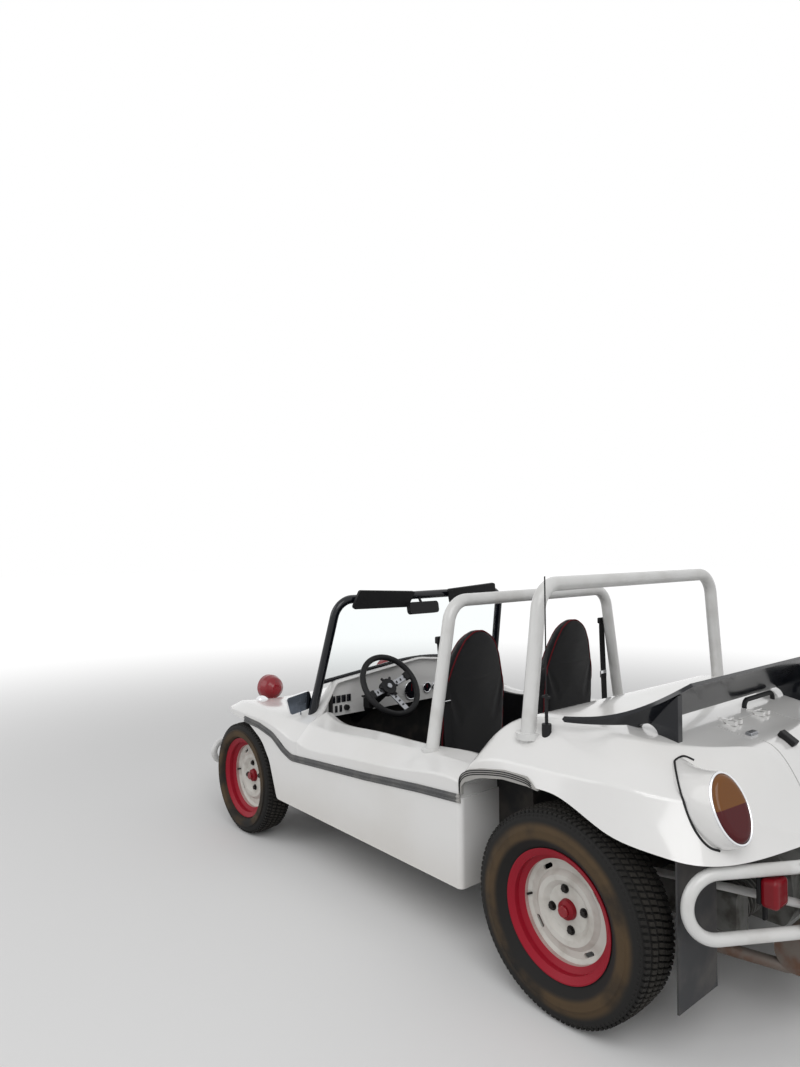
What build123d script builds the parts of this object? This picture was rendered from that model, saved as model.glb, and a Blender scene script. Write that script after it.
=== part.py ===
from build123d import *
from math import cos, radians, sin, sqrt
import os

os.makedirs("parts", exist_ok=True)

# Places are in millimetres from the rear axle line, forward, left and up, with the ground at zero.
wheelbase = 2100
middle_x = 1057
rim_lip_y = 800
rear_tyre_radius = 335
rear_tyre_width = 205
front_tyre_radius = 290
front_tyre_width = 165
bead_seat_radius = 190.5
rim_flange_radius = 208
rear_rim_width = 150
front_rim_width = 118
skin = 7
belt_y = 800
cockpit_half_width = 585
floor_z = 215
sill_z = 265
rear_arch_x = 440
cowl_x = 1560
kingpin_y = 615
hoop_tube_radius = 27
bumper_tube_radius = 19
screen_tube_radius = 22
seat_y = 340
running_gap = 0.05
seat_gap = 0.1
moving_gap = 6


def keep(name, shape):
    export_step(Pos(-middle_x, 0, 0) * shape, f"parts/{name}.step")


def both_sides(shape):
    return shape + mirror(shape, about=Plane.XZ)


def slab(x0, x1, y0, y1, z0, z1):
    box = Box(x1 - x0, y1 - y0, z1 - z0)
    return Pos((x0 + x1) / 2, (y0 + y1) / 2, (z0 + z1) / 2) * box


def rounded_box(length, width, height, radius):
    box = Box(length, width, height)
    return fillet(box.edges().filter_by(Axis.X), radius)


def rod(start, end, radius):
    start = Vector(*start)
    run = Vector(*end) - start
    return extrude(Plane(origin=start, z_dir=run) * Circle(radius), run.length)


def tube(points, bend, radius):
    path = FilletPolyline(*[Vector(*p) for p in points], radius=bend)
    return sweep(Plane(origin=path @ 0, z_dir=path % 0) * Circle(radius), path)


def across(x, points, radii):
    outline = FilletPolyline(*points, radius=radii, close=True)
    return Plane.YZ.offset(x) * make_face(outline)


def turned(points, radii=0):
    """A ring turned about the Y axis from (along the axis, radius) points."""
    outline = FilletPolyline(*[(r, a) for a, r in points], radius=radii, close=True)
    return revolve(make_face(outline), Axis.Y)


def hat_section(x, half, radii, inset, foot):
    """A closed section, symmetric about the centreline, from points that climb from the lip."""
    half = [(y - inset, z - inset) for y, z in half]
    half[0] = (half[0][0], half[0][1] + inset - foot)
    top = half[-1]
    left = half[:-1] if top[0] <= 0 else half
    left_radii = radii[:-1] if top[0] <= 0 else radii
    peak = [(0, top[1])] if top[0] <= 0 else []
    peak_radii = [radii[-1]] if top[0] <= 0 else []
    right = [(-y, z) for y, z in reversed(left)]
    return across(x, left + peak + right, left_radii + peak_radii + left_radii[::-1])


def hat_shell(stations, radii, shorten, shift):
    """A thin moulding over cross sections, open underneath; its hollow is shorter or moved along x."""
    outer = loft([hat_section(x, half, radii, 0, 0) for x, half in stations])
    inner = loft([hat_section(x * shorten + shift, half, radii, skin, 40) for x, half in stations])
    return outer, inner, outer - inner


# Front moulding: x, hood middle height, then hood edge, valley, crown, belt and lip as (y, z).
front_stations = [
    (1560, 908, (560, 842), (650, 706), (725, 664), (800, 588), (800, 496)),
    (1625, 900, (560, 836), (652, 704), (728, 664), (800, 588), (800, 514)),
    (1720, 806, (510, 766), (645, 700), (735, 668), (800, 612), (800, 562)),
    (1850, 768, (440, 735), (600, 690), (740, 672), (800, 636), (800, 600)),
    (2080, 714, (380, 690), (520, 668), (740, 674), (800, 642), (800, 604)),
    (2250, 680, (350, 655), (480, 654), (715, 668), (782, 638), (782, 606)),
    (2350, 640, (330, 616), (460, 610), (670, 648), (742, 626), (742, 600)),
    (2440, 604, (310, 580), (430, 576), (570, 606), (640, 596), (640, 568)),
    (2530, 556, (290, 534), (380, 528), (450, 536), (500, 522), (500, 490)),
    (2605, 490, (270, 470), (330, 462), (360, 456), (400, 436), (400, 392)),
]
front_radii = [0, 12, 40, 60, 40, 300]

front_half = [
    (x, [lip, belt, crown, valley, edge, (0, top)])
    for x, top, edge, valley, crown, belt, lip in front_stations
]
front_outer, front_inner, front_shell = hat_shell(front_half, front_radii, 1, -skin)

# Rear moulding: x, deck height and half width, then fender crease and lip as (y, z).
rear_stations = [
    (440, 702, 700, (790, 668), (800, 640)),
    (405, 765, 708, (790, 722), (800, 668)),
    (330, 868, 670, (786, 765), (800, 700)),
    (220, 912, 635, (782, 780), (800, 722)),
    (110, 914, 618, (781, 786), (800, 724)),
    (0, 914, 600, (780, 790), (800, 724)),
    (-190, 902, 580, (766, 796), (797, 655)),
    (-270, 886, 505, (742, 790), (788, 638)),
    (-350, 874, 390, (692, 776), (768, 628)),
    (-430, 860, 270, (612, 756), (732, 618)),
    (-485, 800, 210, (530, 722), (672, 614)),
    (-535, 712, 180, (430, 676), (570, 616)),
    (-580, 650, 160, (310, 636), (400, 621)),
    (-600, 633, 120, (230, 628), (300, 621)),
]
rear_radii = [0, 22, 60]
rear_half = [(x, [lip, crease, (width, deck)]) for x, deck, width, crease, lip in reversed(rear_stations)]
rear_outer, rear_inner, rear_shell = hat_shell(rear_half, rear_radii, 1 - skin / 600, 0)

# The lid over the engine is cut out of the sloping tail and hinged along its front edge.
lid_front_x = -240
lid_back_x = -566
lid_half_width = 196
bulkhead_x = 262
lid_opening = slab(lid_back_x, lid_front_x, -lid_half_width, lid_half_width, 300, 1100)
lid_blank = slab(
    lid_back_x + moving_gap,
    lid_front_x - moving_gap,
    moving_gap - lid_half_width,
    lid_half_width - moving_gap,
    300,
    1100,
)
cockpit_cut = slab(bulkhead_x, 600, -cockpit_half_width, cockpit_half_width, 300, 1100)

# Pieces that stand on or under a moulding stop this close to its curved face.
lift = Pos(0, 0, seat_gap)
drop = Pos(0, 0, -seat_gap)
front_bed = lift * front_outer
rear_bed = lift * rear_outer
front_ceiling = drop * front_inner
rear_ceiling = drop * rear_inner

rear_body = rear_shell - lid_opening - cockpit_cut
engine_lid = rear_shell & lid_blank

# Two surface hinges on the deck: one barrel on the body between two on the lid's pin.
hinge_axis_x = lid_front_x - moving_gap / 2
hinge_axis_z = 900
barrel_radius = 6
pin_radius = 3
leaf_reach = 36
leaf_z = (hinge_axis_z - 12, hinge_axis_z + 3)
barrel_gap = 0.4


def hinge_rod(low_y, high_y, radius):
    return rod((hinge_axis_x, low_y, hinge_axis_z), (hinge_axis_x, high_y, hinge_axis_z), radius)


for hinge_y in (-110, 110):
    body_barrel = hinge_rod(hinge_y - 11, hinge_y + 11, barrel_radius)
    pin_bore = hinge_rod(hinge_y - 40, hinge_y + 40, pin_radius + running_gap)
    body_leaf = slab(hinge_axis_x, hinge_axis_x + leaf_reach, hinge_y - 11, hinge_y + 11, *leaf_z)
    rear_body = rear_body + ((body_leaf + body_barrel) - pin_bore - rear_outer)
    pin = hinge_rod(hinge_y - 28, hinge_y + 28, pin_radius)
    for side in (-1, 1):
        near = hinge_y + side * (11 + barrel_gap)
        far = hinge_y + side * 29
        low_y = min(near, far)
        high_y = max(near, far)
        lid_barrel = hinge_rod(low_y, high_y, barrel_radius)
        lid_leaf = slab(hinge_axis_x - leaf_reach, hinge_axis_x, low_y, high_y, *leaf_z)
        seat_x = (hinge_axis_x - moving_gap / 2, hinge_axis_x + 20)
        seat_cut = slab(*seat_x, low_y, high_y, 800, hinge_axis_z - barrel_radius)
        engine_lid = engine_lid + (lid_leaf + lid_barrel - rear_outer - seat_cut)
    engine_lid = engine_lid + pin

# The seam between the upper mouldings and the lower side panels dips behind the front wheel.
seam = [
    (2079, 609),
    (1930, 602),
    (1789, 577),
    (1692, 527),
    (1610, 501),
    (1421, 516),
    (1013, 548),
    (672, 582),
    (rear_arch_x - 8, 600),
]
seam_bends = [150, 180, 160, 120, 200, 400, 400]
panel_edge = [
    (rear_arch_x - 8, sill_z),
    (1750, sill_z),
    (1784, 345),
    (1824, 442),
    (1900, 529),
    (2037, 592),
]
seam_line = FilletPolyline(*seam, radius=seam_bends)
panel_line = FilletPolyline(*panel_edge, radius=[25, 60, 120, 200])
panel_ends = [Line(seam[-1], panel_edge[0]), Line(panel_edge[-1], seam[0])]
panel_outline = Face(Wire([*seam_line.edges(), *panel_line.edges(), *panel_ends]))
below_seam = Pos(0, 900, 0) * extrude(Plane.XZ * panel_outline, 300)

# The side mouldings carry on from the front moulding past the doorless opening to the rear arch.
side_stations = [
    (rear_arch_x, 700, (700, 700), 662),
    (740, 702, (700, 694), 640),
    (1005, 690, (705, 680), 612),
    (1300, 676, (712, 660), 585),
    (1470, 676, (718, 655), 574),
    (cowl_x, 706, (725, 664), 588),
]


def side_section(x, rail_z, crown, belt_z, inset):
    points = [
        (belt_y - inset, 440 - inset),
        (belt_y - inset, belt_z - inset / 2),
        (crown[0] - inset / 2, crown[1] - inset),
        (cockpit_half_width + 40, rail_z - inset),
        (cockpit_half_width + inset, rail_z - 12 - inset),
        (cockpit_half_width + inset, 440 - inset),
    ]
    return across(x, points, [0, 12, 30, 10, 6, 0])


side_outer = loft([side_section(*station, 0) for station in side_stations])
side_ends = [skin, 0, 0, 0, 0, 30]
side_inner = loft([side_section(x + end, *rest, skin) for (x, *rest), end in zip(side_stations, side_ends)])
sill_wall = slab(rear_arch_x, cowl_x, cockpit_half_width, cockpit_half_width + skin, floor_z, 441)
side_moulding = side_outer - side_inner - below_seam + sill_wall
body_sides = both_sides(side_moulding)
front_body = front_shell - both_sides(below_seam)

# Each lower panel is a tray: outer face, rounded rear return before the wheel and bottom flange.
tray_depth = belt_y - cockpit_half_width - skin
tray_solid = Pos(0, belt_y, 0) * extrude(Plane.XZ * panel_outline, tray_depth)
tray_edges = tray_solid.edges().filter_by(GeomType.LINE).group_by(Axis.Y)[-1]
rear_edge = tray_edges.sort_by(Axis.X)[0]
tray_solid = fillet(rear_edge, 22)
panel_hollow = Face(offset(panel_outline, -skin).face().outer_wire())
tray_hollow = Pos(0, belt_y - skin, 0) * extrude(Plane.XZ * panel_hollow, tray_depth)
tray_top = slab(rear_arch_x, 2100, 500, belt_y - skin, 480, 700)
tray_front = slab(1700, 2100, 500, belt_y - skin, 290, 700)
side_panel = tray_solid - tray_hollow - tray_top - tray_front
side_panels = both_sides(side_panel)

def under(box, inner, split_z):
    """The part of a box that stays below a moulding's underside."""
    low = box & slab(-1000, 3000, -1000, 1000, 0, split_z)
    high = box & slab(-1000, 3000, -1000, 1000, split_z, 1200) & inner
    return low + high


# Steel floor with its tunnel, the frame head in front and the horns beside the gearbox.
floor_half_width = cockpit_half_width + skin
floor_thickness = 6
tunnel_half_width = 75
tunnel_top = 330
floor_front_x = 1735
floor_y = (-floor_half_width, floor_half_width)
floor_plate = slab(bulkhead_x, floor_front_x, *floor_y, floor_z - floor_thickness, floor_z)
tunnel = slab(120, 2150, -tunnel_half_width, tunnel_half_width, floor_z - 30, tunnel_top)
tunnel = fillet(tunnel.edges().filter_by(Axis.X).group_by(Axis.Z)[-1], 40)
frame_head = slab(2080, 2206, -150, 150, 225, 390)
torsion_tube = rod((360, -500, 330), (360, 500, 330), 45)
horns = both_sides(rod((150, 62, 285), (-130, 150, 285), 22))
frame = floor_plate + tunnel + frame_head + torsion_tube + horns

# Inner walls between the floor and the mouldings: rear well, footwell and front luggage well.
wall_y = (cockpit_half_width, cockpit_half_width + skin)
rear_wall = slab(bulkhead_x, bulkhead_x + skin, -wall_y[1], wall_y[1], floor_z, 1100)
rear_cheek = slab(bulkhead_x, rear_arch_x, *wall_y, floor_z, 1100)
arm_slot = slab(bulkhead_x, bulkhead_x + skin, 496, 516, 290, 380)
rear_bulkhead = under(rear_wall + both_sides(rear_cheek), rear_ceiling, 690) - torsion_tube - tunnel
end_notch = slab(rear_arch_x - 2 * skin, rear_arch_x, *wall_y, 636, 691)
rear_bulkhead = rear_bulkhead - both_sides(arm_slot + end_notch)
foot_wall = slab(floor_front_x - skin, floor_front_x, -wall_y[1], wall_y[1], floor_z, 1100)
foot_cheek = slab(cowl_x, floor_front_x, *wall_y, floor_z, 1100)
well_half_width = 455
well_front_x = 2360
well_floor_z = 425
well_side = slab(floor_front_x, well_front_x, well_half_width - skin, well_half_width, well_floor_z, 1000)
well_front = slab(well_front_x - skin, well_front_x, -well_half_width, well_half_width, well_floor_z, 1000)
well_y = (-well_half_width, well_half_width)
well_floor = slab(floor_front_x, well_front_x, *well_y, well_floor_z - skin, well_floor_z)
footwell = under(foot_wall + both_sides(foot_cheek + well_side) + well_front, front_ceiling, 540) + well_floor
footwell = footwell - tunnel

# Dash: a white panel across the cowl with a folded lower edge.
dash_x = cowl_x + 30
dash_lower_z = 668
dash_half_width = 645
dash_face = slab(dash_x, dash_x + skin, -dash_half_width, dash_half_width, dash_lower_z, 1100)
dash_fold = slab(dash_x, dash_x + 60, -wall_y[0], wall_y[0], dash_lower_z, dash_lower_z + skin)
dash = under(dash_face, front_ceiling, dash_lower_z + 20) - footwell + dash_fold

# Roll hoops stand on foot plates on the mouldings.
hoops = {
    "roll_hoop_rear": (200, 1390, 615, 690, 860, rear_bed),
    "roll_hoop_front": (730, 1300, 550, 668, 690, both_sides(lift * side_outer)),
}
hoop_bend = 105
hoop_solids = {}
for name, (x, top, half_top, half_foot, foot_z, carrier) in hoops.items():
    lean = (half_foot - half_top) / (top - foot_z)
    start_y = half_foot + lean * 40
    corners = [(x, side * y, z) for side, y, z in [(1, start_y, foot_z - 40), (1, half_top, top)]]
    corners += [(px, -py, pz) for px, py, pz in reversed(corners)]
    hoop = tube(corners, hoop_bend, hoop_tube_radius)
    foot = Pos(x, half_foot, foot_z) * Cylinder(44, 22)
    hoop_solids[name] = (hoop + both_sides(foot)) - carrier

# The windscreen leans back from the cowl; its tube carries visors and a mirror.
screen_foot = (1620, 655, 738)
screen_top = (1500, 592, 1266)
screen_lean = (screen_top[0] - screen_foot[0]) / (screen_top[2] - screen_foot[2])


def screen_x(z):
    return screen_foot[0] + screen_lean * (z - screen_foot[2])


screen_corners = [(screen_x(660), screen_foot[1] + 9, 660), screen_top]
screen_corners += [(x, -y, z) for x, y, z in reversed(screen_corners)]
screen_tube = tube(screen_corners, 95, screen_tube_radius)
sill_ends_z = 848
sill_mid_z = 922
sill_side = (screen_x(sill_ends_z), 636, sill_ends_z)
sill_other = (sill_side[0], -636, sill_ends_z)
screen_sill = tube([sill_side, (screen_x(sill_mid_z), 0, sill_mid_z), sill_other], 1500, 11)
screen_frame = screen_tube + screen_sill - front_bed
screen_plane = Plane(
    origin=screen_foot[:1] + (0,) + screen_foot[2:],
    x_dir=(0, 1, 0),
    z_dir=Vector(0, 1, 0).cross(Vector(screen_lean, 0, 1)),
)
screen_slope = sqrt(1 + screen_lean**2)
glass_height = (screen_top[2] - screen_foot[2]) * screen_slope
glass_outline = make_face(
    Polyline(
        (-screen_foot[1], 0),
        (-screen_top[1], glass_height),
        (screen_top[1], glass_height),
        (screen_foot[1], 0),
        close=True,
    )
)
glass_sheet = extrude(screen_plane * glass_outline, 2.5, both=True)
sill_cut = slab(1400, 1700, -700, 700, 600, sill_ends_z - 8)
glass_raw = glass_sheet - screen_tube - screen_sill - front_bed - sill_cut
glass = glass_raw.solids().sort_by(SortBy.VOLUME)[-1]

# Visors lie along the top rail, behind it, and the mirror hangs under it.
top_x = screen_top[0]
top_z = screen_top[2]
visor_points = [(528, top_z - 40), (494, top_z + 56), (121, top_z + 34), (158, top_z - 50)]
visor_outline = make_face(FilletPolyline(*visor_points, radius=[16, 14, 10, 16], close=True))
visor = Pos(top_x - 30, 0, 0) * extrude(Plane.YZ * visor_outline, -14)
visor = Pos(top_x, 0, top_z) * Rot(0, -13, 0) * Pos(-top_x, 0, -top_z) * visor
visor_clip = slab(top_x - 34, top_x + 26, 300, 336, top_z - 12, top_z + 26)
mirror_case = Pos(top_x - 44, 62, top_z - 66) * Rot(0, 10, 6) * rounded_box(26, 228, 64, 20)
mirror_stem = rod((top_x, 62, top_z), (top_x - 44, 62, top_z - 62), 7)
header_fittings = both_sides(visor + visor_clip) + mirror_case + mirror_stem - screen_tube

# Chrome door mirrors on short arms, bullet indicators, and round lamp pods on stalks.
mirror_head = Pos(1685, 704, 744) * Rot(-12, 8, -14) * rounded_box(30, 124, 86, 12)
mirror_arm = rod((1687, 700, 740), (1694, 694, 670), 7)
side_mirrors = both_sides(mirror_head + mirror_arm) - front_bed
bullet = Pos(2225, 612, 652) * Rot(0, 0, 0) * scale(Sphere(36), (1.35, 0.95, 0.95))
front_indicators = both_sides(bullet) - front_bed
pod_x = 2400
pod_y = 450
pod_z = 687
pod_radius = 74
pod_profile = [(-70, 0), (-64, 30), (-34, 62), (5, pod_radius), (40, pod_radius), (40, 60), (28, 60), (28, 0)]
pod_shell = turned(pod_profile, [0, 30, 40, 30, 0, 0, 0, 0])
pod = Pos(pod_x, pod_y, pod_z) * Rot(0, 0, -90) * pod_shell
pod_stalk = rod((pod_x - 5, pod_y, pod_z - 60), (pod_x - 5, pod_y, 580), 13)
pod_pieces = (pod + pod_stalk - front_bed).solids().sort_by(SortBy.VOLUME)
headlamp_pods = both_sides(pod_pieces[-1])
lens_shape = turned([(0, 0), (0, 59.8), (16, 59.8), (26, 40), (30, 0)], [0, 0, 10, 20, 0])
headlamp_lenses = both_sides(Pos(pod_x + 28.1, pod_y, pod_z) * Rot(0, 0, -90) * lens_shape)

# Tail lamp pods taper forward into the rear corners and carry a slanted lens.
lamp_centre = Vector(-494, 630, 766)
lamp_normal = Vector(-0.85, 0.3, 0.43)
lamp_up = Vector(0.405, -0.143, 0.903)


def lamp_face(along, wide, tall, aside, lift):
    place = lamp_centre + lamp_normal.normalized() * along
    plane = Plane(origin=place, x_dir=lamp_up.cross(lamp_normal), z_dir=lamp_normal)
    return plane * Pos(aside, lift) * Ellipse(wide, tall)


pod_faces = [lamp_face(0, 67, 105, 8, 4), lamp_face(-80, 76, 116, 0, 18), lamp_face(-160, 68, 118, 15, 60)]
lamp_pod = loft(pod_faces)
lamp_pods = both_sides(lamp_pod) - rear_outer
rear_body = rear_body + lamp_pods
lens_faces = [lamp_face(seat_gap, 60, 97, 8, 4), lamp_face(9, 56, 92, 8, 4), lamp_face(16, 40, 72, 8, 4)]
lamp_lens = loft(lens_faces)
lamp_lenses = headlamp_lenses + both_sides(lamp_lens)


# Seats: high-backed buckets on a steel frame, and a bench across the rear well.
def level(z, x, y, length, width, radius):
    return Pos(x, y, z) * RectangleRounded(length, width, radius)


seat_back = loft(
    [
        level(330, 880, 0, 120, 400, 50),
        level(600, 860, 0, 116, 440, 50),
        level(870, 836, 0, 104, 430, 46),
        level(1040, 806, 0, 86, 318, 38),
        level(1120, 792, 0, 72, 210, 32),
        level(1166, 784, 0, 36, 80, 16),
    ]
)
cushion_points = [(770, 300), (1275, 318), (1300, 400), (1270, 436), (880, 398), (770, 398)]
cushion_side = make_face(FilletPolyline(*cushion_points, radius=[20, 24, 30, 30, 40, 20], close=True))
cushion = Pos(0, 215, 0) * extrude(Plane.XZ * cushion_side, 430)
bolster = Pos(0, 215, 0) * extrude(Plane.XZ * Pos(1040, 420) * SlotOverall(400, 90), 52)
seat_shape = seat_back + cushion + bolster + mirror(bolster, about=Plane.XZ)
runner = slab(860, 1220, 165, 195, floor_z, 306)
seat_shape = seat_shape + runner + mirror(runner, about=Plane.XZ)
front_seats = both_sides(Pos(0, seat_y, 0) * seat_shape)
bench_half_width = 560
bench_base = [(272, 380), (410, 380), (420, 320), (700, 320)]
bench_points = bench_base + [(712, 420), (690, 445), (410, 425), (352, 440), (306, 800), (272, 812)]
bench_bends = [10, 8, 8, 25, 30, 20, 10, 10, 14, 12]
bench_side = make_face(FilletPolyline(*bench_points, radius=bench_bends, close=True))
bench = Pos(0, bench_half_width, 0) * extrude(Plane.XZ * bench_side, 2 * bench_half_width)
bench_foot = slab(424, 690, -540, 540, floor_z, 330)
bench = bench + bench_foot - frame

# Lap and shoulder straps hang from the front hoop's legs.
belt_width = 46
belt_points = [(738, 566, 1120), (728, 556, 700), (728, 552, floor_z + 0.1)]


def strap(start, end):
    run = Vector(*end) - Vector(*start)
    plane = Plane(origin=start, x_dir=(0, 1, 0), z_dir=run)
    return extrude(plane * Rectangle(belt_width, 4), run.length)


straps = strap(*belt_points[:2]) + strap(*belt_points[1:])
straps = straps & slab(600, 800, 500, 640, floor_z, 1200)
seat_belts = both_sides(straps) - hoop_solids["roll_hoop_front"]

# Steering: an inclined column through the dash to the wheel the driver holds.
column_rise = 36
wheel_centre = Vector(1400, seat_y, 826)
column_way = Vector(-cos(radians(column_rise)), 0, sin(radians(column_rise)))
column_plane = Plane(origin=wheel_centre, x_dir=(0, 1, 0), z_dir=column_way)
rim_radius = 160
grip_radius = 15
hub_radius = 40
steering_rim = column_plane * Torus(rim_radius, grip_radius)
steering_hub = column_plane * Pos(0, 0, -34) * Cylinder(hub_radius, 30)
spokes = []
for angle in (16, 106, 196):
    outward = column_plane * Rot(0, 0, angle) * Pos((rim_radius + hub_radius) / 2 - 14, 0, -16)
    spoke = outward * Rot(0, -13, 0) * Box(rim_radius - hub_radius + 24, 30, 7)
    spokes.append(spoke)
shaft_radius = 11
column_end = wheel_centre - column_way * 376
steering_shaft = rod(wheel_centre - column_way * 80, wheel_centre - column_way * 30, shaft_radius)
steering_wheel = steering_rim + steering_hub + spokes + steering_shaft
column_tube = rod(column_end, wheel_centre - column_way * 56, 27)
column_bore = rod(wheel_centre - column_way * 81, wheel_centre - column_way * 20, shaft_radius + running_gap)
column_bracket = slab(1540, dash_x, seat_y - 30, seat_y + 30, 690, 740)
stalk_start = wheel_centre - column_way * 90 + Vector(0, 10, 0)
stalk = rod(stalk_start, stalk_start + column_way * 6 + Vector(0, 120, 0), 5)
steering_column = (column_tube + stalk + column_bracket) - column_bore - dash


# Wheels: pressed steel discs in drop-centre rims, a drum behind and a domed hub cap.
tyre_inner_radius = bead_seat_radius + seat_gap
drum_radius = 116


def rim_shape(width):
    """One rim and disc, outer lip at y = 0 and its inner side towards -y."""
    back = -width
    barrel = turned(
        [
            (0, rim_flange_radius),
            (-8, rim_flange_radius - 1),
            (-8, bead_seat_radius),
            (-34, bead_seat_radius),
            (-46, 171),
            (back + 46, 171),
            (back + 34, bead_seat_radius),
            (back + 8, bead_seat_radius),
            (back + 8, rim_flange_radius - 1),
            (back, rim_flange_radius),
            (back, rim_flange_radius - 4),
            (back + 12, 184),
            (back + 32, 184),
            (back + 44, 165),
            (-44, 165),
            (-32, 184),
            (-12, 184),
            (0, rim_flange_radius - 4),
        ]
    )
    disc = turned(
        [
            (-66, 0),
            (-66, 76),
            (-52, 94),
            (-50, 112),
            (-64, 128),
            (-66, 152),
            (-58, 166),
            (-70, 168),
            (-74, 152),
            (-72, 128),
            (-58, 110),
            (-60, 98),
            (-73, 78),
            (-73, 0),
        ]
    )
    drum = Pos(0, -73 - 26, 0) * Rot(90, 0, 0) * Cylinder(drum_radius, 52)
    cap = turned([(-66, 0), (-66, 33), (-52, 31), (-44, 20), (-42, 0)])
    wheel = barrel + disc + drum + cap
    for angle in (35, 125, 215, 305):
        slot_place = Pos(0, -66, 0) * Rot(0, angle, 0) * Pos(0, 0, 141) * Rot(90, 0, 0)
        wheel = wheel - slot_place * extrude(SlotOverall(44, 15), 30, both=True)
    return wheel


def tyre_shape(width, radius, rim_width):
    """One tyre whose middle plane is the rim's, as a thick carcass seated on the rim."""
    middle = -rim_width / 2
    half = width / 2
    bead = rim_width / 2 - 8 - seat_gap
    crown = half * 0.80
    side_z = bead_seat_radius + (radius - bead_seat_radius) * 0.45
    points = [
        (bead, tyre_inner_radius),
        (bead, rim_flange_radius + 3),
        (half, side_z),
        (half - 4, radius - 34),
        (crown, radius - 7),
        (crown * 0.5, radius),
    ]
    outline = [(middle + a, r) for a, r in points] + [(middle - a, r) for a, r in reversed(points)]
    outline += [(middle - bead + 16, tyre_inner_radius), (middle - bead + 24, rim_flange_radius + 6)]
    outline += [(middle + bead - 24, rim_flange_radius + 6), (middle + bead - 16, tyre_inner_radius)]
    return turned(outline, [0, 0, 30, 24, 14, 60, 60, 14, 24, 30, 0, 0, 0, 6, 6, 0])


stub_radius = 15
stub_reach = 60
wheel_table = [
    ("rear_left", 0, 1, rear_tyre_radius, rear_tyre_width, rear_rim_width),
    ("rear_right", 0, -1, rear_tyre_radius, rear_tyre_width, rear_rim_width),
    ("front_left", wheelbase, 1, front_tyre_radius, front_tyre_width, front_rim_width),
    ("front_right", wheelbase, -1, front_tyre_radius, front_tyre_width, front_rim_width),
]
wheel_nodes = {}
for name, x, side, radius, width, rim_width in wheel_table:
    rim = rim_shape(rim_width)
    bore_place = Pos(0, -125 + stub_reach / 2, 0) * Rot(90, 0, 0)
    rim = rim - bore_place * Cylinder(stub_radius + running_gap, stub_reach + 2)
    pair = {"wheel_" + name: rim, "tyre_" + name: tyre_shape(width, radius, rim_width)}
    for node, shape in pair.items():
        placed = Pos(x, rim_lip_y, radius) * shape
        wheel_nodes[node] = placed if side > 0 else mirror(placed, about=Plane.XZ)

# Rear axle: gearbox, swinging axle tubes with brake plates, spring plates and dampers.
drum_back_y = rim_lip_y - 125
plate_y = drum_back_y - moving_gap
axle_z = rear_tyre_radius
gearbox = turned([(-82, 0), (-82, 96), (-30, 128), (30, 128), (82, 96), (82, 0)])
gearbox = Pos(0, 0, axle_z) * gearbox + rod((20, 0, axle_z), (205, 0, axle_z - 8), 84)
axle_tube = rod((0, 60, axle_z), (0, plate_y, axle_z), 33)
brake_plate = rod((0, plate_y - 8, axle_z), (0, plate_y, axle_z), drum_radius)
rear_stub = rod((0, plate_y - 10, axle_z), (0, drum_back_y + stub_reach - 4, axle_z), stub_radius)
arm_outline = make_face(Polyline((20, 300), (372, 296), (372, 364), (20, 372), close=True))
spring_plate = Pos(0, 512, 0) * extrude(Plane.XZ * arm_outline, 12)
rear_damper = rod((-62, 540, 318), (-96, 535, 600), 24) + rod((-96, 535, 590), (-104, 533, 690), 9)
damper_foot = rod((-66, 480, 322), (-66, 560, 322), 12) + rod((-66, 500, 322), (0, 500, axle_z), 14)
rear_side = axle_tube + brake_plate + rear_stub + spring_plate + damper_foot + rear_damper
rear_axle = gearbox + both_sides(rear_side) - frame
rear_axle = under(rear_axle, rear_ceiling, 665)

# Front axle: two beam tubes, trailing arms, king pins, and steered knuckles with stub axles.
beam_x = wheelbase + 118
beam_zs = (front_tyre_radius - 75, front_tyre_radius + 75)
arm_zs = (front_tyre_radius - 72, front_tyre_radius + 72)
beam = slab(beam_x - 16, beam_x + 16, 340, 400, beam_zs[0], beam_zs[1] + 48)
for z in beam_zs:
    beam += rod((beam_x, 0, z), (beam_x, 470, z), 30)
for z in arm_zs:
    beam += Pos(0, 442, 0) * extrude(Plane.XZ * Pos(beam_x - 60, z) * RectangleRounded(170, 44, 20), -34)
    beam += rod((wheelbase, 460, z), (wheelbase, kingpin_y, z), 19)
kingpin_radius = 13
eye_radius = 25
beam += rod((wheelbase, kingpin_y, arm_zs[0] - 20), (wheelbase, kingpin_y, arm_zs[0] + 20), eye_radius)
beam += rod((wheelbase, kingpin_y, arm_zs[1] - 20), (wheelbase, kingpin_y, arm_zs[1] + 20), eye_radius)
beam += rod((wheelbase, kingpin_y, arm_zs[0]), (wheelbase, kingpin_y, arm_zs[1]), kingpin_radius)
front_damper = rod((beam_x - 4, 410, beam_zs[1] + 36), (beam_x - 40, 436, beam_zs[0]), 20)
beam += front_damper
steering_box = slab(beam_x - 110, beam_x - 20, 160, 260, 350, 412)
drop_arm = rod((beam_x - 70, 210, 330), (beam_x - 70, 210, 400), 14)
tie_rods = rod((beam_x - 70, -440, 330), (beam_x - 70, 440, 330), 9) + drop_arm
front_axle = both_sides(beam) + steering_box + tie_rods - frame
sleeve_low = arm_zs[0] + 20 + 0.3
sleeve_high = arm_zs[1] - 20 - 0.3
front_drum_back_y = rim_lip_y - 125
sleeve = rod((wheelbase, kingpin_y, sleeve_low), (wheelbase, kingpin_y, sleeve_high), eye_radius + 4)
front_plate = rod(
    (wheelbase, front_drum_back_y - 14, front_tyre_radius),
    (wheelbase, front_drum_back_y - moving_gap, front_tyre_radius),
    drum_radius,
)
front_stub = rod(
    (wheelbase, kingpin_y, front_tyre_radius),
    (wheelbase, front_drum_back_y + stub_reach - 4, front_tyre_radius),
    stub_radius,
)
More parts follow.
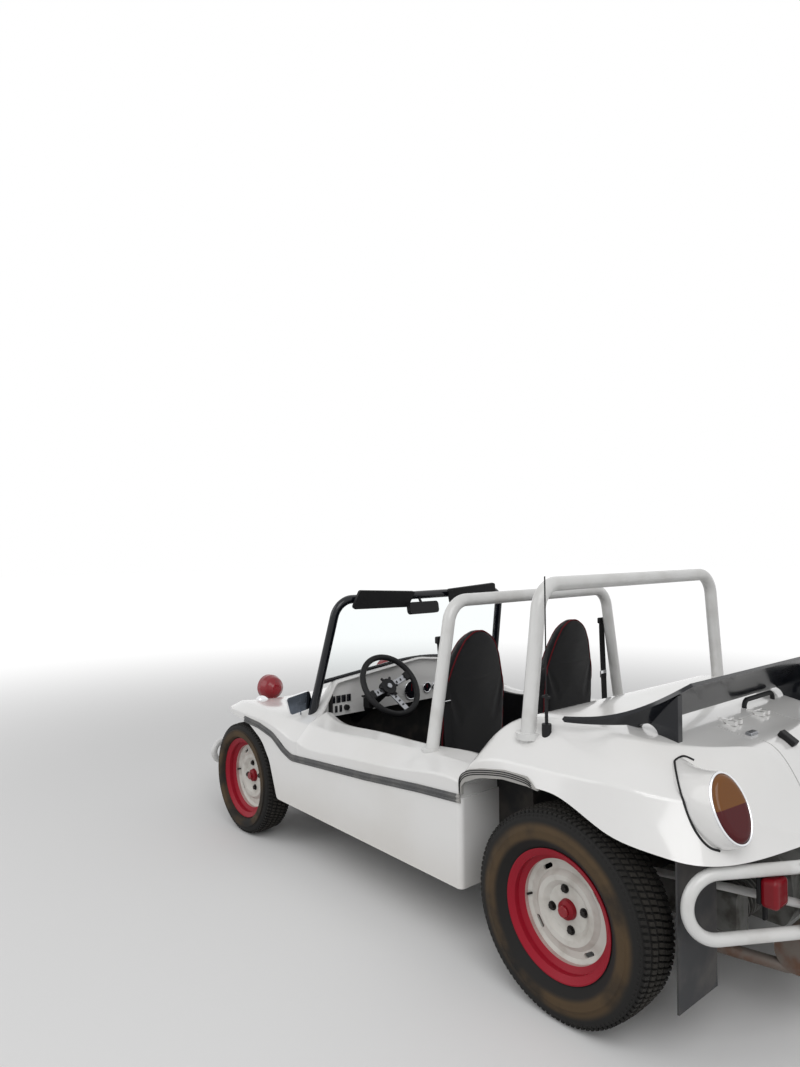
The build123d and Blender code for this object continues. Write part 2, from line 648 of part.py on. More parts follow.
kingpin_bore = rod(
    (wheelbase, kingpin_y, 100),
    (wheelbase, kingpin_y, 500),
    kingpin_radius + running_gap,
)
steer_arm = Pos(wheelbase - 60, kingpin_y, front_tyre_radius - 30) * Box(110, 24, 12)
knuckle = sleeve + front_plate + front_stub + steer_arm - kingpin_bore
knuckles = {"knuckle_left": knuckle, "knuckle_right": mirror(knuckle, about=Plane.XZ)}

# Flat-four engine behind the gearbox: crankcase, finned cylinders, fan housing and pulleys.
crank_z = 330
case_points = [(-88, 235), (-430, 235), (-462, 300), (-450, 430), (-400, 470), (-88, 470)]
case_side = make_face(FilletPolyline(*case_points, radius=[12, 30, 30, 30, 20, 12], close=True))
crankcase = Pos(0, 120, 0) * extrude(Plane.XZ * case_side, 240)
engine = crankcase
for x in (-180, -320):
    bank = rod((x, 118, crank_z), (x, 290, crank_z), 44)
    for step in range(7):
        y = 136 + step * 22
        bank += rod((x, y, crank_z), (x, y + 7, crank_z), 62)
    engine += both_sides(bank)
head = slab(-385, -115, 290, 372, crank_z - 66, crank_z + 70)
head = fillet(head.edges().filter_by(Axis.X), 18)
engine += both_sides(head)
fan_half = [(-250, 466), (-300, 560), (-270, 700), (-120, 760)]
fan_points = fan_half + [(120, 760), (250, 700), (300, 560), (230, 466)]
fan_bends = [20, 60, 90, 120, 120, 90, 60, 20]
fan_outline = make_face(FilletPolyline(*fan_points, radius=fan_bends, close=True))
fan_housing = Pos(-180, 0, 0) * extrude(Plane.YZ * fan_outline, -110)
engine += fan_housing
engine += rod((-240, 0, 560), (-420, 0, 560), 48) + rod((-420, 0, 560), (-446, 0, 560), 68)
engine += rod((-455, 0, crank_z), (-482, 0, crank_z), 84)
engine += slab(-410, -330, -40, 40, 460, 530)
engine = engine - rear_axle - frame

# Exhaust: header pipes, cross silencer and one tail pipe.
silencer_x = -545
silencer_z = 268
silencer = rod((silencer_x, -330, silencer_z), (silencer_x, 330, silencer_z), 62)
pipe_radius = 19
header_path = [(-250, 372, 292), (-250, 372, 210), (silencer_x, 300, 210), (silencer_x, 300, 268)]
header = tube(header_path, 40, pipe_radius)
tail_start = Vector(silencer_x, 150, silencer_z - 30)
tail_end = Vector(-632, 210, 205)
tail_way = (tail_end - tail_start).normalized()
tail_joint = tail_end - tail_way * 40
tail_pipe = rod(tail_start, tail_joint - tail_way * seat_gap, 21)
tail_bore = rod(tail_joint - tail_way, tail_end + tail_way, 18)
tail_sleeve = rod(tail_joint, tail_end, 21) - tail_bore
exhaust = silencer + both_sides(header) + tail_pipe - engine + tail_sleeve

# Bumpers: a pair of tubes joined by round ends and swept back at the sides, on brackets.
def bumper(middle, knee_y, end, z_low, z_high):
    solid = None
    for z in (z_low, z_high):
        path = [(*end, z), (middle, knee_y, z), (middle, -knee_y, z), (end[0], -end[1], z)]
        run = tube(path, 160, bumper_tube_radius)
        solid = run if solid is None else solid + run
    outward = Vector(end[0] - middle, end[1] - knee_y, 0).normalized()
    bow = (z_high - z_low) / 2
    tip = Vector(*end, (z_low + z_high) / 2) + outward * bow
    arc = ThreePointArc(Vector(*end, z_low), tip, Vector(*end, z_high))
    end_loop = sweep(Plane(origin=arc @ 0, z_dir=arc % 0) * Circle(bumper_tube_radius), arc)
    return solid + both_sides(end_loop)


rear_bumper_x = -620
bracket_y = 412
rear_bumper = bumper(rear_bumper_x, 400, (-467, 650), 392, 582)
rear_bracket = slab(rear_bumper_x - 6, rear_bumper_x + 6, bracket_y - 34, bracket_y + 34, 372, 604)
rear_stay = rod((rear_bumper_x + 6, bracket_y, 470), (bulkhead_x + 6, bracket_y, 358), 13)
rear_bumper = rear_bumper + both_sides(rear_bracket + rear_stay)
rear_bumper = rear_bumper - rear_bulkhead - rear_axle - engine - exhaust
front_bumper_x = 2740
front_bumper = bumper(front_bumper_x, 420, (2703, 627), 225, 335)
front_stay = rod((front_bumper_x, 300, 280), (beam_x + 16, 370, 290), 13)
front_bracket = slab(front_bumper_x - 5, front_bumper_x + 5, 270, 330, 208, 352)
front_bumper = front_bumper + both_sides(front_bracket + front_stay) - front_axle

# Rear wing: an inclined black blade on two arched feet, its ends sweeping forward and down.
blade_stations = [
    (430, -172, 942, -278, 1070),
    (500, -158, 940, -246, 1040),
    (570, -108, 937, -164, 990),
    (625, -36, 934, -62, 956),
    (664, 66, 930, 56, 942),
]
blade_thickness = 13


def blade_section(y, low_x, low_z, high_x, high_z):
    way = Vector(high_x - low_x, high_z - low_z).normalized()
    across_way = Vector(-way.Y, way.X) * (blade_thickness / 2)
    low = Vector(low_x, low_z)
    high = Vector(high_x, high_z)
    corners = [low + across_way, high + across_way, high - across_way, low - across_way]
    return Plane.XZ.offset(-y) * make_face(Polyline(*[(c.X, c.Y) for c in corners], close=True))


blade_tip = loft([blade_section(*station) for station in blade_stations])
blade_middle = extrude(blade_section(*blade_stations[0]), 2 * blade_stations[0][0])
blade = blade_middle + both_sides(blade_tip)
foot_outline = make_face(Polyline((-262, 880), (-52, 880), (-88, 944), (-180, 960), (-262, 1040), close=True))
foot_arch = Pos(-150, 890) * Circle(42)
wing_foot = Pos(0, 492, 0) * extrude(Plane.XZ * (foot_outline - foot_arch), 26)
wing_foot = wing_foot - blade - rear_bed
wing_foot = wing_foot.solids().sort_by(Axis.Z)[0]
rear_wing = blade + both_sides(wing_foot)

# Small fittings: deck handle, antenna, mud flaps, floor levers and pedals.
handle_path = [(-192, -115, 880), (-192, -115, 930), (-192, -360, 930), (-192, -360, 880)]
grab_handle = tube(handle_path, 26, 9) - rear_bed
antenna_foot = (134, 668, 868)
antenna_top = (132, 672, 1424)
antenna = rod(antenna_foot, antenna_top, 2.5) + rod(antenna_foot, (134, 668.5, 1010), 6)
antenna = antenna + Pos(134, 668, 878) * Cylinder(17, 60) + Pos(134, 668.5, 1002) * Box(34, 10, 8) - rear_bed
flap = slab(-386, -380, 500, 728, 168, 1000)
mud_flaps = both_sides(under(flap, rear_ceiling, 610)) - rear_bumper
gear_lever = rod((1130, 0, tunnel_top - 4), (1100, 0, 560), 6) + Pos(1098, 0, 572) * Sphere(20)
gear_boot = Pos(1130, 0, tunnel_top + 14) * Cone(38, 12, 30)
hand_brake = rod((930, 36, tunnel_top - 6), (1090, 36, 430), 8) + rod((1090, 36, 430), (1150, 36, 452), 13)
pedals = None
for y, wide in ((430, 46), (340, 56), (250, 44)):
    arm = rod((1700, y, floor_z), (1640, y, 350), 7) + Pos(1636, y, 356) * Rot(0, -24, 0) * Box(8, wide, 66)
    pedals = arm if pedals is None else pedals + arm
floor_controls = gear_lever + gear_boot + hand_brake + pedals - frame

# Ribbed rubber mouldings cover the seams, and a short tapered one trims each rear arch.
trim_half = [(0, -16), (4, -16), (4, -11), (8, -9), (8, -5), (4, -3)]
trim_profile = trim_half + [(depth, -height) for depth, height in reversed(trim_half)]
trim_start = seam_line @ 0
trim_way = seam_line % 0
trim_plane = Plane(
    origin=(trim_start.X, belt_y, trim_start.Y),
    x_dir=(0, 1, 0),
    z_dir=(trim_way.X, 0, trim_way.Y),
)
trim_path = Pos(0, belt_y, 0) * (Plane.XZ * seam_line)
side_trim = sweep(trim_plane * make_face(Polyline(*trim_profile, close=True)), trim_path)
side_trim = side_trim - Pos(0, seat_gap, 0) * front_outer
arch_top = [(438, 618), (436, 676), (396, 716), (330, 734), (220, 753), (120, 754), (66, 720)]
arch_bottom = [(110, 725), (220, 723), (330, 702), (400, 674), (424, 650), (424, 618)]
arch_bends = [0, 24, 30, 100, 100, 0, 0, 0, 100, 60, 20, 20, 0]
arch_outline = make_face(FilletPolyline(*arch_top, *arch_bottom, radius=arch_bends, close=True))
arch_trim = Pos(0, belt_y + 5, 0) * extrude(Plane.XZ * arch_outline, 13) - rear_outer - body_sides
side_mouldings = both_sides(side_trim + arch_trim)

keep("front_body", front_body)
keep("rear_body", rear_body)
keep("engine_lid", engine_lid)
keep("body_sides", body_sides)
keep("side_panels", side_panels)
keep("floor_frame", frame)
keep("rear_bulkhead", rear_bulkhead)
keep("footwell", footwell)
keep("dash_panel", dash)
for name, solid in hoop_solids.items():
    keep(name, solid)
keep("windscreen_frame", screen_frame)
keep("windscreen_glass", glass)
keep("header_fittings", header_fittings)
keep("side_mirrors", side_mirrors)
keep("front_indicators", front_indicators)
keep("headlamp_pods", headlamp_pods)
keep("lamp_lenses", lamp_lenses)
keep("front_seats", front_seats)
keep("rear_bench", bench)
keep("seat_belts", seat_belts)
keep("steering_wheel", steering_wheel)
keep("steering_column", steering_column)
keep("rear_axle", rear_axle)
keep("front_axle", front_axle)
keep("engine_block", engine)
for node, shape in wheel_nodes.items():
    keep(node, shape)
for node, shape in knuckles.items():
    keep(node, shape)
keep("exhaust", exhaust)
keep("rear_bumper", rear_bumper)
keep("front_bumper", front_bumper)
keep("rear_wing", rear_wing)
keep("grab_handle", grab_handle)
keep("antenna", antenna)
keep("mud_flaps", mud_flaps)
keep("floor_controls", floor_controls)
keep("side_mouldings", side_mouldings)
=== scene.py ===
import math

import bmesh
import bpy
from mathutils import Matrix, Vector
from mathutils.bvhtree import BVHTree
from mathutils.kdtree import KDTree


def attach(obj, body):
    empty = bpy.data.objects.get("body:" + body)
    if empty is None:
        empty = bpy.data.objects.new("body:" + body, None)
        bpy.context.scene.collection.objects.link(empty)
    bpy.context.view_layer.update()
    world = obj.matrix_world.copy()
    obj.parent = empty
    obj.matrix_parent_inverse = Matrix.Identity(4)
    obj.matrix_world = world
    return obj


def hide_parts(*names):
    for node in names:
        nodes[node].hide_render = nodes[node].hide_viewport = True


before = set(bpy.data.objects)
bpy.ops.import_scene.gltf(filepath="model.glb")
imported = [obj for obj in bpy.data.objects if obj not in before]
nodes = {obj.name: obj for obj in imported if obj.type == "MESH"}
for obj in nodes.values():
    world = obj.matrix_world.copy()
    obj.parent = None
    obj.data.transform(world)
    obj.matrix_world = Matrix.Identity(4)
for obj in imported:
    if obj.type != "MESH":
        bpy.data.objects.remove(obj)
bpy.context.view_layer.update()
print("frame loaded", len(nodes), "nodes")

# Metres in the row frame. Rear axle at x = rearAxleX, floor at z = 0.
rearAxleX = -1.057
frontAxleX = 1.043
rimLipY = 0.8
bothSides = (("left", 1), ("right", -1))
frontWay, leftWay, up = (Vector(way) for way in ((1, 0, 0), (0, 1, 0), (0, 0, 1)))


# Materials: plain sockets first, then masks and noise in object coordinates.
def shaderOf(material):
    return material.node_tree.nodes["Principled BSDF"]


def makeMaterial(name, colour, roughness=0.5, metallic=0.0, coat=0.0, specular=0.5):
    material = bpy.data.materials.new(name)
    material.use_nodes = True
    shader = shaderOf(material)
    shader.inputs["Base Color"].default_value = (*colour, 1)
    shader.inputs["Roughness"].default_value = roughness
    shader.inputs["Metallic"].default_value = metallic
    shader.inputs["Specular IOR Level"].default_value = specular
    shader.inputs["Coat Weight"].default_value = coat
    shader.inputs["Coat Roughness"].default_value = 0.08
    return material


def objectPlace(tree):
    return tree.nodes.new("ShaderNodeTexCoord").outputs["Object"]


def mathNode(tree, operation, first, second=0.0):
    node = tree.nodes.new("ShaderNodeMath")
    node.operation = operation
    for socket, value in zip(node.inputs, (first, second)):
        if isinstance(value, (int, float)):
            socket.default_value = value
        else:
            tree.links.new(value, socket)
    return node.outputs[0]


def stepMask(tree, value, low, high):
    node = tree.nodes.new("ShaderNodeMapRange")
    node.interpolation_type = "SMOOTHSTEP"
    node.inputs["From Min"].default_value = low
    node.inputs["From Max"].default_value = high
    tree.links.new(value, node.inputs["Value"])
    return node.outputs["Result"]


def axisParts(tree):
    split = tree.nodes.new("ShaderNodeSeparateXYZ")
    tree.links.new(objectPlace(tree), split.inputs[0])
    return split.outputs["X"], split.outputs["Y"], split.outputs["Z"]


def distance(tree, first, second):
    squares = [mathNode(tree, "POWER", part, 2) for part in (first, second)]
    return mathNode(tree, "SQRT", mathNode(tree, "ADD", *squares))


def turnRadius(tree, x, z):
    alongX, _, alongZ = axisParts(tree)
    return distance(tree, mathNode(tree, "SUBTRACT", alongX, x), mathNode(tree, "SUBTRACT", alongZ, z))


def noiseMask(tree, scale, low, high, detail=6):
    noise = tree.nodes.new("ShaderNodeTexNoise")
    noise.inputs["Scale"].default_value = scale
    noise.inputs["Detail"].default_value = detail
    tree.links.new(objectPlace(tree), noise.inputs["Vector"])
    return stepMask(tree, noise.outputs["Fac"], low, high)


def layColour(material, colour, mask, strength=1.0):
    tree = material.node_tree
    socket = shaderOf(material).inputs["Base Color"]
    mix = tree.nodes.new("ShaderNodeMix")
    mix.data_type = "RGBA"
    colourSockets = [item for item in mix.inputs if item.type == "RGBA"]
    if socket.is_linked:
        tree.links.new(socket.links[0].from_socket, colourSockets[0])
    else:
        colourSockets[0].default_value = tuple(socket.default_value)
    colourSockets[1].default_value = (*colour, 1)
    tree.links.new(mathNode(tree, "MULTIPLY", mask, strength), mix.inputs[0])
    result = [item for item in mix.outputs if item.type == "RGBA"][0]
    tree.links.new(result, socket)


def layBump(material, height, depth, strength):
    tree = material.node_tree
    bump = tree.nodes.new("ShaderNodeBump")
    bump.inputs["Distance"].default_value = depth
    bump.inputs["Strength"].default_value = strength
    tree.links.new(height, bump.inputs["Height"])
    tree.links.new(bump.outputs["Normal"], shaderOf(material).inputs["Normal"])


def surroundingsSeen(tree):
    lightPath = tree.nodes.new("ShaderNodeLightPath")
    seen = lightPath.outputs["Is Camera Ray"]
    for name in ("Is Glossy Ray", "Is Transmission Ray"):
        seen = mathNode(tree, "MAXIMUM", seen, lightPath.outputs[name])
    return seen


def wornPaint(name, colour, dusty, roughness, coat, scale, amount, specular=0.5):
    material = makeMaterial(name, colour, roughness, 0.0, coat, specular)
    layColour(material, dusty, noiseMask(material.node_tree, scale, 0.42, 0.72), amount)
    return material


roadDust = {"colour": (0.50, 0.46, 0.40), "clearAbove": 0.47, "fullBelow": 0.24, "strength": 0.3}


def layRoadDust(material):
    tree = material.node_tree
    mask = stepMask(tree, axisParts(tree)[2], roadDust["clearAbove"], roadDust["fullBelow"])
    layColour(material, roadDust["colour"], mask, roadDust["strength"])


# White moulded shell; the tub's inner faces are trimmed in black below the rail.
whiteShell = {
    "colour": (0.78, 0.775, 0.765),
    "dusty": (0.60, 0.57, 0.52),
    "roughness": 0.2,
    "coat": 0.7,
    "scale": 2.3,
    "amount": 0.22,
}
gelcoat = wornPaint("gelcoat", **whiteShell)
layRoadDust(gelcoat)
whiteInside = wornPaint("gelcoatInside", **dict(whiteShell, roughness=0.3, coat=0.4))
insideTree = whiteInside.node_tree
_, insideY, insideZ = axisParts(insideTree)
innerSide = stepMask(insideTree, mathNode(insideTree, "ABSOLUTE", insideY), 0.5935, 0.5925)
belowRail = stepMask(insideTree, insideZ, 0.668, 0.664)
layColour(whiteInside, (0.008, 0.008, 0.009), mathNode(insideTree, "MULTIPLY", innerSide, belowRail))
layRoadDust(whiteInside)
tubePaint = wornPaint("tubePaint", (0.68, 0.68, 0.67), (0.40, 0.38, 0.35), 0.3, 0.35, 9, 0.3)
redPaint = wornPaint("redPaint", (0.25, 0.003, 0.011), (0.13, 0.008, 0.010), 0.25, 0.4, 12, 0.35, 0.3)
underBlack = wornPaint("underBlack", (0.016, 0.016, 0.017), (0.085, 0.072, 0.06), 0.62, 0.0, 9, 0.5, 0.25)
glossBlack = makeMaterial("glossBlack", (0.005, 0.006, 0.009), 0.16, 0.0, 0.25, 0.3)
mattBlack = makeMaterial("mattBlack", (0.010, 0.010, 0.011), 0.6, 0.0, 0.0, 0.25)
rubber = wornPaint("rubber", (0.085, 0.086, 0.088), (0.17, 0.165, 0.155), 0.55, 0.0, 14, 0.5)
rubberX = axisParts(rubber.node_tree)[0]
archPart = stepMask(rubber.node_tree, rubberX, rearAxleX + 0.452, rearAxleX + 0.448)
layColour(rubber, (0.40, 0.39, 0.37), archPart, 0.85)
flapRubber = wornPaint("flapRubber", (0.022, 0.023, 0.026), (0.11, 0.10, 0.09), 0.55, 0.0, 7, 0.6)
chrome = makeMaterial("chrome", (0.80, 0.81, 0.83), 0.06, 1.0)
mirrorChrome = makeMaterial("mirrorChrome", (0.80, 0.81, 0.83), 0.06, 1.0)
# The rear-facing mirror glass gets a dark blue-grey tint: a painted reflection, not the glass's own colour.
mirrorTree = mirrorChrome.node_tree
mirrorFacing = mirrorTree.nodes.new("ShaderNodeSeparateXYZ")
mirrorGeometry = mirrorTree.nodes.new("ShaderNodeNewGeometry")
mirrorTree.links.new(mirrorGeometry.outputs["True Normal"], mirrorFacing.inputs[0])
layColour(mirrorChrome, (0.10, 0.115, 0.14), stepMask(mirrorTree, mirrorFacing.outputs["X"], -0.9, -0.93))
castAlloy = wornPaint("castAlloy", (0.20, 0.20, 0.19), (0.05, 0.045, 0.035), 0.55, 0.0, 18, 0.8)
shaderOf(castAlloy).inputs["Metallic"].default_value = 0.6
hotSteel = wornPaint("hotSteel", (0.20, 0.17, 0.15), (0.15, 0.06, 0.025), 0.6, 0.0, 15, 0.75)
shaderOf(hotSteel).inputs["Metallic"].default_value = 0.5
glass = makeMaterial("glass", (0.93, 0.96, 0.96), 0.02)
shaderOf(glass).inputs["Transmission Weight"].default_value = 1.0
shaderOf(glass).inputs["IOR"].default_value = 1.03
# Grey metal for the spokes, hub cap, post plates and lid latch. Its colour is kept dark as painted shade,
# darker than the bare metal would be.
spokeMetal = makeMaterial("spokeMetal", (0.34, 0.35, 0.37), 0.34, 0.9)
boltBlack = makeMaterial("boltBlack", (0.015, 0.013, 0.012), 0.4, 0.5)
dialFace = makeMaterial("dialFace", (0.008, 0.008, 0.012), 0.15, 0.0, 0.8)
redLens = makeMaterial("redLens", (0.20, 0.004, 0.010), 0.2, 0.0, 0.1, 0.25)
pipingRed = makeMaterial("pipingRed", (0.11, 0.006, 0.010), 0.8, 0.0, 0.0, 0.2)

cloth = makeMaterial("cloth", (0.007, 0.007, 0.008), 0.95, 0.0, 0.0, 0.2)
shaderOf(cloth).inputs["Sheen Weight"].default_value = 0.25
layBump(cloth, noiseMask(cloth.node_tree, 900, 0.3, 0.7, 2), 0.0006, 0.6)
webbing = makeMaterial("webbing", (0.010, 0.010, 0.011), 0.8, 0.0, 0.0, 0.25)

# Tail lenses: amber above a straight joint, dark red below it; the front lenses stay clear.
lampCentre = Vector((-0.494 + rearAxleX, 0.63, 0.766))
lampNormal = Vector((-0.85, 0.3, 0.43)).normalized()
lampUp = Vector((0.405, -0.143, 0.903)).normalized()
lens = makeMaterial("lens", (0.72, 0.76, 0.78), 0.12, 0.0, 0.1, 0.25)
lensTree = lens.node_tree
lensX, _, lensZ = axisParts(lensTree)
atTail = stepMask(lensTree, lensX, -1.0, -1.1)
lensSlope = mathNode(lensTree, "MULTIPLY", mathNode(lensTree, "SUBTRACT", lensX, lampCentre.x), 0.42)
lensHeight = mathNode(lensTree, "ADD", lensZ, lensSlope)
layColour(lens, (0.075, 0.004, 0.006), atTail)
amberPart = stepMask(lensTree, lensHeight, lampCentre.z + 0.006, lampCentre.z + 0.009)
layColour(lens, (0.17, 0.062, 0.012), mathNode(lensTree, "MULTIPLY", amberPart, atTail))

# Each wheel: corner, axle, side, tyre radius, tyre width and rim width.
wheelSizes = {"rear": (rearAxleX, 0.335, 0.205, 0.150), "front": (frontAxleX, 0.290, 0.165, 0.118)}
wheelTable = []
for end, (axleX, radius, width, rimWidth) in wheelSizes.items():
    for sideName, side in bothSides:
        wheelTable.append((end + "_" + sideName, axleX, side, radius, width, rimWidth))


# Wheel and tyre materials follow the distance from each wheel's own axis.
def wheelMaterial(corner, x, z):
    name = "wheelPaint_" + corner
    material = wornPaint(name, (0.60, 0.59, 0.55), (0.34, 0.31, 0.27), 0.42, 0.0, 16, 0.45, 0.25)
    tree = material.node_tree
    away = turnRadius(tree, x, z)
    layColour(material, (0.29, 0.004, 0.017), stepMask(tree, away, 0.1645, 0.1655))
    layColour(material, (0.22, 0.004, 0.012), stepMask(tree, away, 0.0345, 0.0335))
    return material


def tyreMaterial(corner, x, z):
    material = makeMaterial("tyreRubber_" + corner, (0.013, 0.0125, 0.012), 0.78, 0.0, 0.0, 0.25)
    tree = material.node_tree
    away = turnRadius(tree, x, z)
    fromRim = stepMask(tree, away, 0.66 * z + 0.012, 0.66 * z + 0.03)
    toTread = stepMask(tree, away, 0.90 * z, 0.83 * z)
    ring = mathNode(tree, "MULTIPLY", fromRim, toTread)
    dusty = mathNode(tree, "MULTIPLY", ring, noiseMask(tree, 7, 0.25, 0.6))
    layColour(material, (0.085, 0.055, 0.028), dusty, 0.85)
    layColour(material, (0.07, 0.062, 0.052), stepMask(tree, away, z - 0.008, z), 0.35)
    return material


nodeMaterials = [
    (gelcoat, ["front_body", "rear_body", "engine_lid", "side_panels", "dash_panel"]),
    (whiteInside, ["body_sides"]),
    (tubePaint, ["roll_hoop_rear", "roll_hoop_front", "rear_bumper", "front_bumper"]),
    (underBlack, ["floor_frame", "rear_bulkhead", "footwell", "rear_axle", "front_axle"]),
    (underBlack, ["knuckle_left", "knuckle_right"]),
    (glossBlack, ["windscreen_frame", "rear_wing"]),
    (mattBlack, ["header_fittings", "steering_wheel", "steering_column", "grab_handle", "antenna"]),
    (mattBlack, ["floor_controls"]),
    (webbing, ["seat_belts"]),
    (rubber, ["side_mouldings"]),
    (flapRubber, ["mud_flaps"]),
    (mirrorChrome, ["side_mirrors"]),
    (chrome, ["front_indicators"]),
    (redPaint, ["headlamp_pods"]),
    (lens, ["lamp_lenses"]),
    (cloth, ["front_seats", "rear_bench"]),
    (castAlloy, ["engine_block"]),
    (hotSteel, ["exhaust"]),
    (glass, ["windscreen_glass"]),
]
tyreRubbers = {}
for corner, x, _, radius, _, _ in wheelTable:
    tyreRubbers[corner] = tyreMaterial(corner, x, radius)
    nodeMaterials.append((wheelMaterial(corner, x, radius), ["wheel_" + corner]))
    nodeMaterials.append((tyreRubbers[corner], ["tyre_" + corner]))
for material, names in nodeMaterials:
    for name in names:
        nodes[name].data.materials.clear()
        nodes[name].data.materials.append(material)
print("materials set")


# Shared shape makers.
def newPiece(name, mesh, body, replaced=()):
    piece = bpy.data.objects.new(name, mesh)
    bpy.context.scene.collection.objects.link(piece)
    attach(piece, body)
    if replaced:
        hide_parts(*replaced)
    return piece


def meshFrom(work, name, smooth=True):
    bmesh.ops.recalc_face_normals(work, faces=work.faces)
    mesh = bpy.data.meshes.new(name)
    work.to_mesh(mesh)
    work.free()
    if smooth:
        mesh.polygons.foreach_set("use_smooth", [True] * len(mesh.polygons))
    return mesh


def spunRings(profile, segments, centre):
    x, y, z = centre
    work = bmesh.new()
    rings = []
    for step in range(segments):
        angle = 2 * math.pi * step / segments
        ring = []
        for along, away in profile:
            ring.append(work.verts.new((x + away * math.sin(angle), y + along, z + away * math.cos(angle))))
        rings.append(ring)
    count = len(profile)
    for step in range(segments):
        here, there = rings[step], rings[(step + 1) % segments]
        for index in range(count):
            after = (index + 1) % count
            work.faces.new((here[index], here[after], there[after], there[index]))
    return work


def loftRings(rings):
    work = bmesh.new()
    loops = [[work.verts.new(place) for place in ring] for ring in rings]
    for here, there in zip(loops, loops[1:]):
        for index in range(len(here)):
            after = (index + 1) % len(here)
            work.faces.new((here[index], here[after], there[after], there[index]))
    work.faces.new(loops[0])
    work.faces.new(loops[-1])
    return work


# A ring of points round a place. Power 2 gives an ellipse, and more gives squarer corners.
def roundedRing(centre, across, along, halfAcross, halfAlong, power, count=40):
    ring = []
    for step in range(count):
        angle = 2 * math.pi * step / count
        wide, tall = math.cos(angle), math.sin(angle)
        size = (abs(wide) ** power + abs(tall) ** power) ** (-1 / power)
        ring.append(centre + across * (halfAcross * wide * size) + along * (halfAlong * tall * size))
    return ring


def treeInput(tree, name, kind, value=None):
    socket = tree.interface.new_socket(name, in_out="INPUT", socket_type=kind)
    if value is not None:
        socket.default_value = value


def startTree(name):
    tree = bpy.data.node_groups.new(name, "GeometryNodeTree")
    treeInput(tree, "Geometry", "NodeSocketGeometry")
    tree.interface.new_socket("Geometry", in_out="OUTPUT", socket_type="NodeSocketGeometry")
    return tree, tree.nodes.new("NodeGroupInput"), tree.nodes.new("NodeGroupOutput")


def endTree(tree, geometry, given, output):
    realize = tree.nodes.new("GeometryNodeRealizeInstances")
    paint = tree.nodes.new("GeometryNodeSetMaterial")
    tree.links.new(geometry, realize.inputs[0])
    tree.links.new(realize.outputs[0], paint.inputs["Geometry"])
    tree.links.new(given.outputs["Material"], paint.inputs["Material"])
    tree.links.new(paint.outputs[0], output.inputs["Geometry"])


# Copies the given mesh round a circle about Z, each turned to face outwards.
ringTree, ringGiven, ringOutput = startTree("copiesRound")
treeInput(ringTree, "Count", "NodeSocketInt", 8)
treeInput(ringTree, "Radius", "NodeSocketFloat", 0.1)
treeInput(ringTree, "Phase", "NodeSocketFloat", 0.0)
treeInput(ringTree, "Material", "NodeSocketMaterial")
ringCircle = ringTree.nodes.new("GeometryNodeMeshCircle")
ringInstances = ringTree.nodes.new("GeometryNodeInstanceOnPoints")
ringIndex = ringTree.nodes.new("GeometryNodeInputIndex")
ringTurn = ringTree.nodes.new("ShaderNodeCombineXYZ")
ringTransform = ringTree.nodes.new("GeometryNodeTransform")
ringTwist = ringTree.nodes.new("ShaderNodeCombineXYZ")
ringTree.links.new(ringGiven.outputs["Count"], ringCircle.inputs["Vertices"])
ringTree.links.new(ringGiven.outputs["Radius"], ringCircle.inputs["Radius"])
ringTree.links.new(ringCircle.outputs[0], ringInstances.inputs["Points"])
ringTree.links.new(ringGiven.outputs["Geometry"], ringInstances.inputs["Instance"])
ringShare = mathNode(ringTree, "DIVIDE", ringIndex.outputs[0], ringGiven.outputs["Count"])
ringTree.links.new(mathNode(ringTree, "MULTIPLY", ringShare, 2 * math.pi), ringTurn.inputs["Z"])
ringTree.links.new(ringTurn.outputs[0], ringInstances.inputs["Rotation"])
ringTree.links.new(ringInstances.outputs[0], ringTransform.inputs["Geometry"])
ringTree.links.new(ringGiven.outputs["Phase"], ringTwist.inputs["Z"])
ringTree.links.new(ringTwist.outputs[0], ringTransform.inputs["Rotation"])
endTree(ringTree, ringTransform.outputs[0], ringGiven, ringOutput)

# Sweeps a round section along the given edge path.
sweepTree, sweepGiven, sweepOutput = startTree("sectionAlong")
treeInput(sweepTree, "Radius", "NodeSocketFloat", 0.004)
treeInput(sweepTree, "Sides", "NodeSocketInt", 12)
treeInput(sweepTree, "Material", "NodeSocketMaterial")
sweepCurve = sweepTree.nodes.new("GeometryNodeMeshToCurve")
sweepSection = sweepTree.nodes.new("GeometryNodeCurvePrimitiveCircle")
sweepMesh = sweepTree.nodes.new("GeometryNodeCurveToMesh")
sweepMesh.inputs["Fill Caps"].default_value = True
sweepSmooth = sweepTree.nodes.new("GeometryNodeSetShadeSmooth")
sweepTree.links.new(sweepGiven.outputs["Geometry"], sweepCurve.inputs[0])
sweepTree.links.new(sweepGiven.outputs["Radius"], sweepSection.inputs["Radius"])
sweepTree.links.new(sweepGiven.outputs["Sides"], sweepSection.inputs["Resolution"])
sweepTree.links.new(sweepCurve.outputs[0], sweepMesh.inputs["Curve"])
sweepTree.links.new(sweepSection.outputs[0], sweepMesh.inputs["Profile Curve"])
sweepTree.links.new(sweepMesh.outputs[0], sweepSmooth.inputs[0])
endTree(sweepTree, sweepSmooth.outputs[0], sweepGiven, sweepOutput)


def evaluatedMesh(piece):
    return bpy.data.meshes.new_from_object(piece.evaluated_get(bpy.context.evaluated_depsgraph_get()))


def runTree(mesh, tree, values):
    carrier = bpy.data.objects.new("carrier", mesh)
    bpy.context.scene.collection.objects.link(carrier)
    modifier = carrier.modifiers.new("nodes", "NODES")
    modifier.node_group = tree
    for item in tree.interface.items_tree:
        if item.in_out == "INPUT" and item.name in values:
            modifier[item.identifier] = values[item.name]
    result = evaluatedMesh(carrier)
    bpy.data.objects.remove(carrier)
    return result


def pipeAlong(points, radius, material, closed=False, sides=12):
    path = bpy.data.meshes.new("path")
    edges = [(index, index + 1) for index in range(len(points) - 1)]
    if closed:
        edges.append((len(points) - 1, 0))
    path.from_pydata([tuple(point) for point in points], edges, [])
    return runTree(path, sweepTree, {"Radius": radius, "Sides": sides, "Material": material})


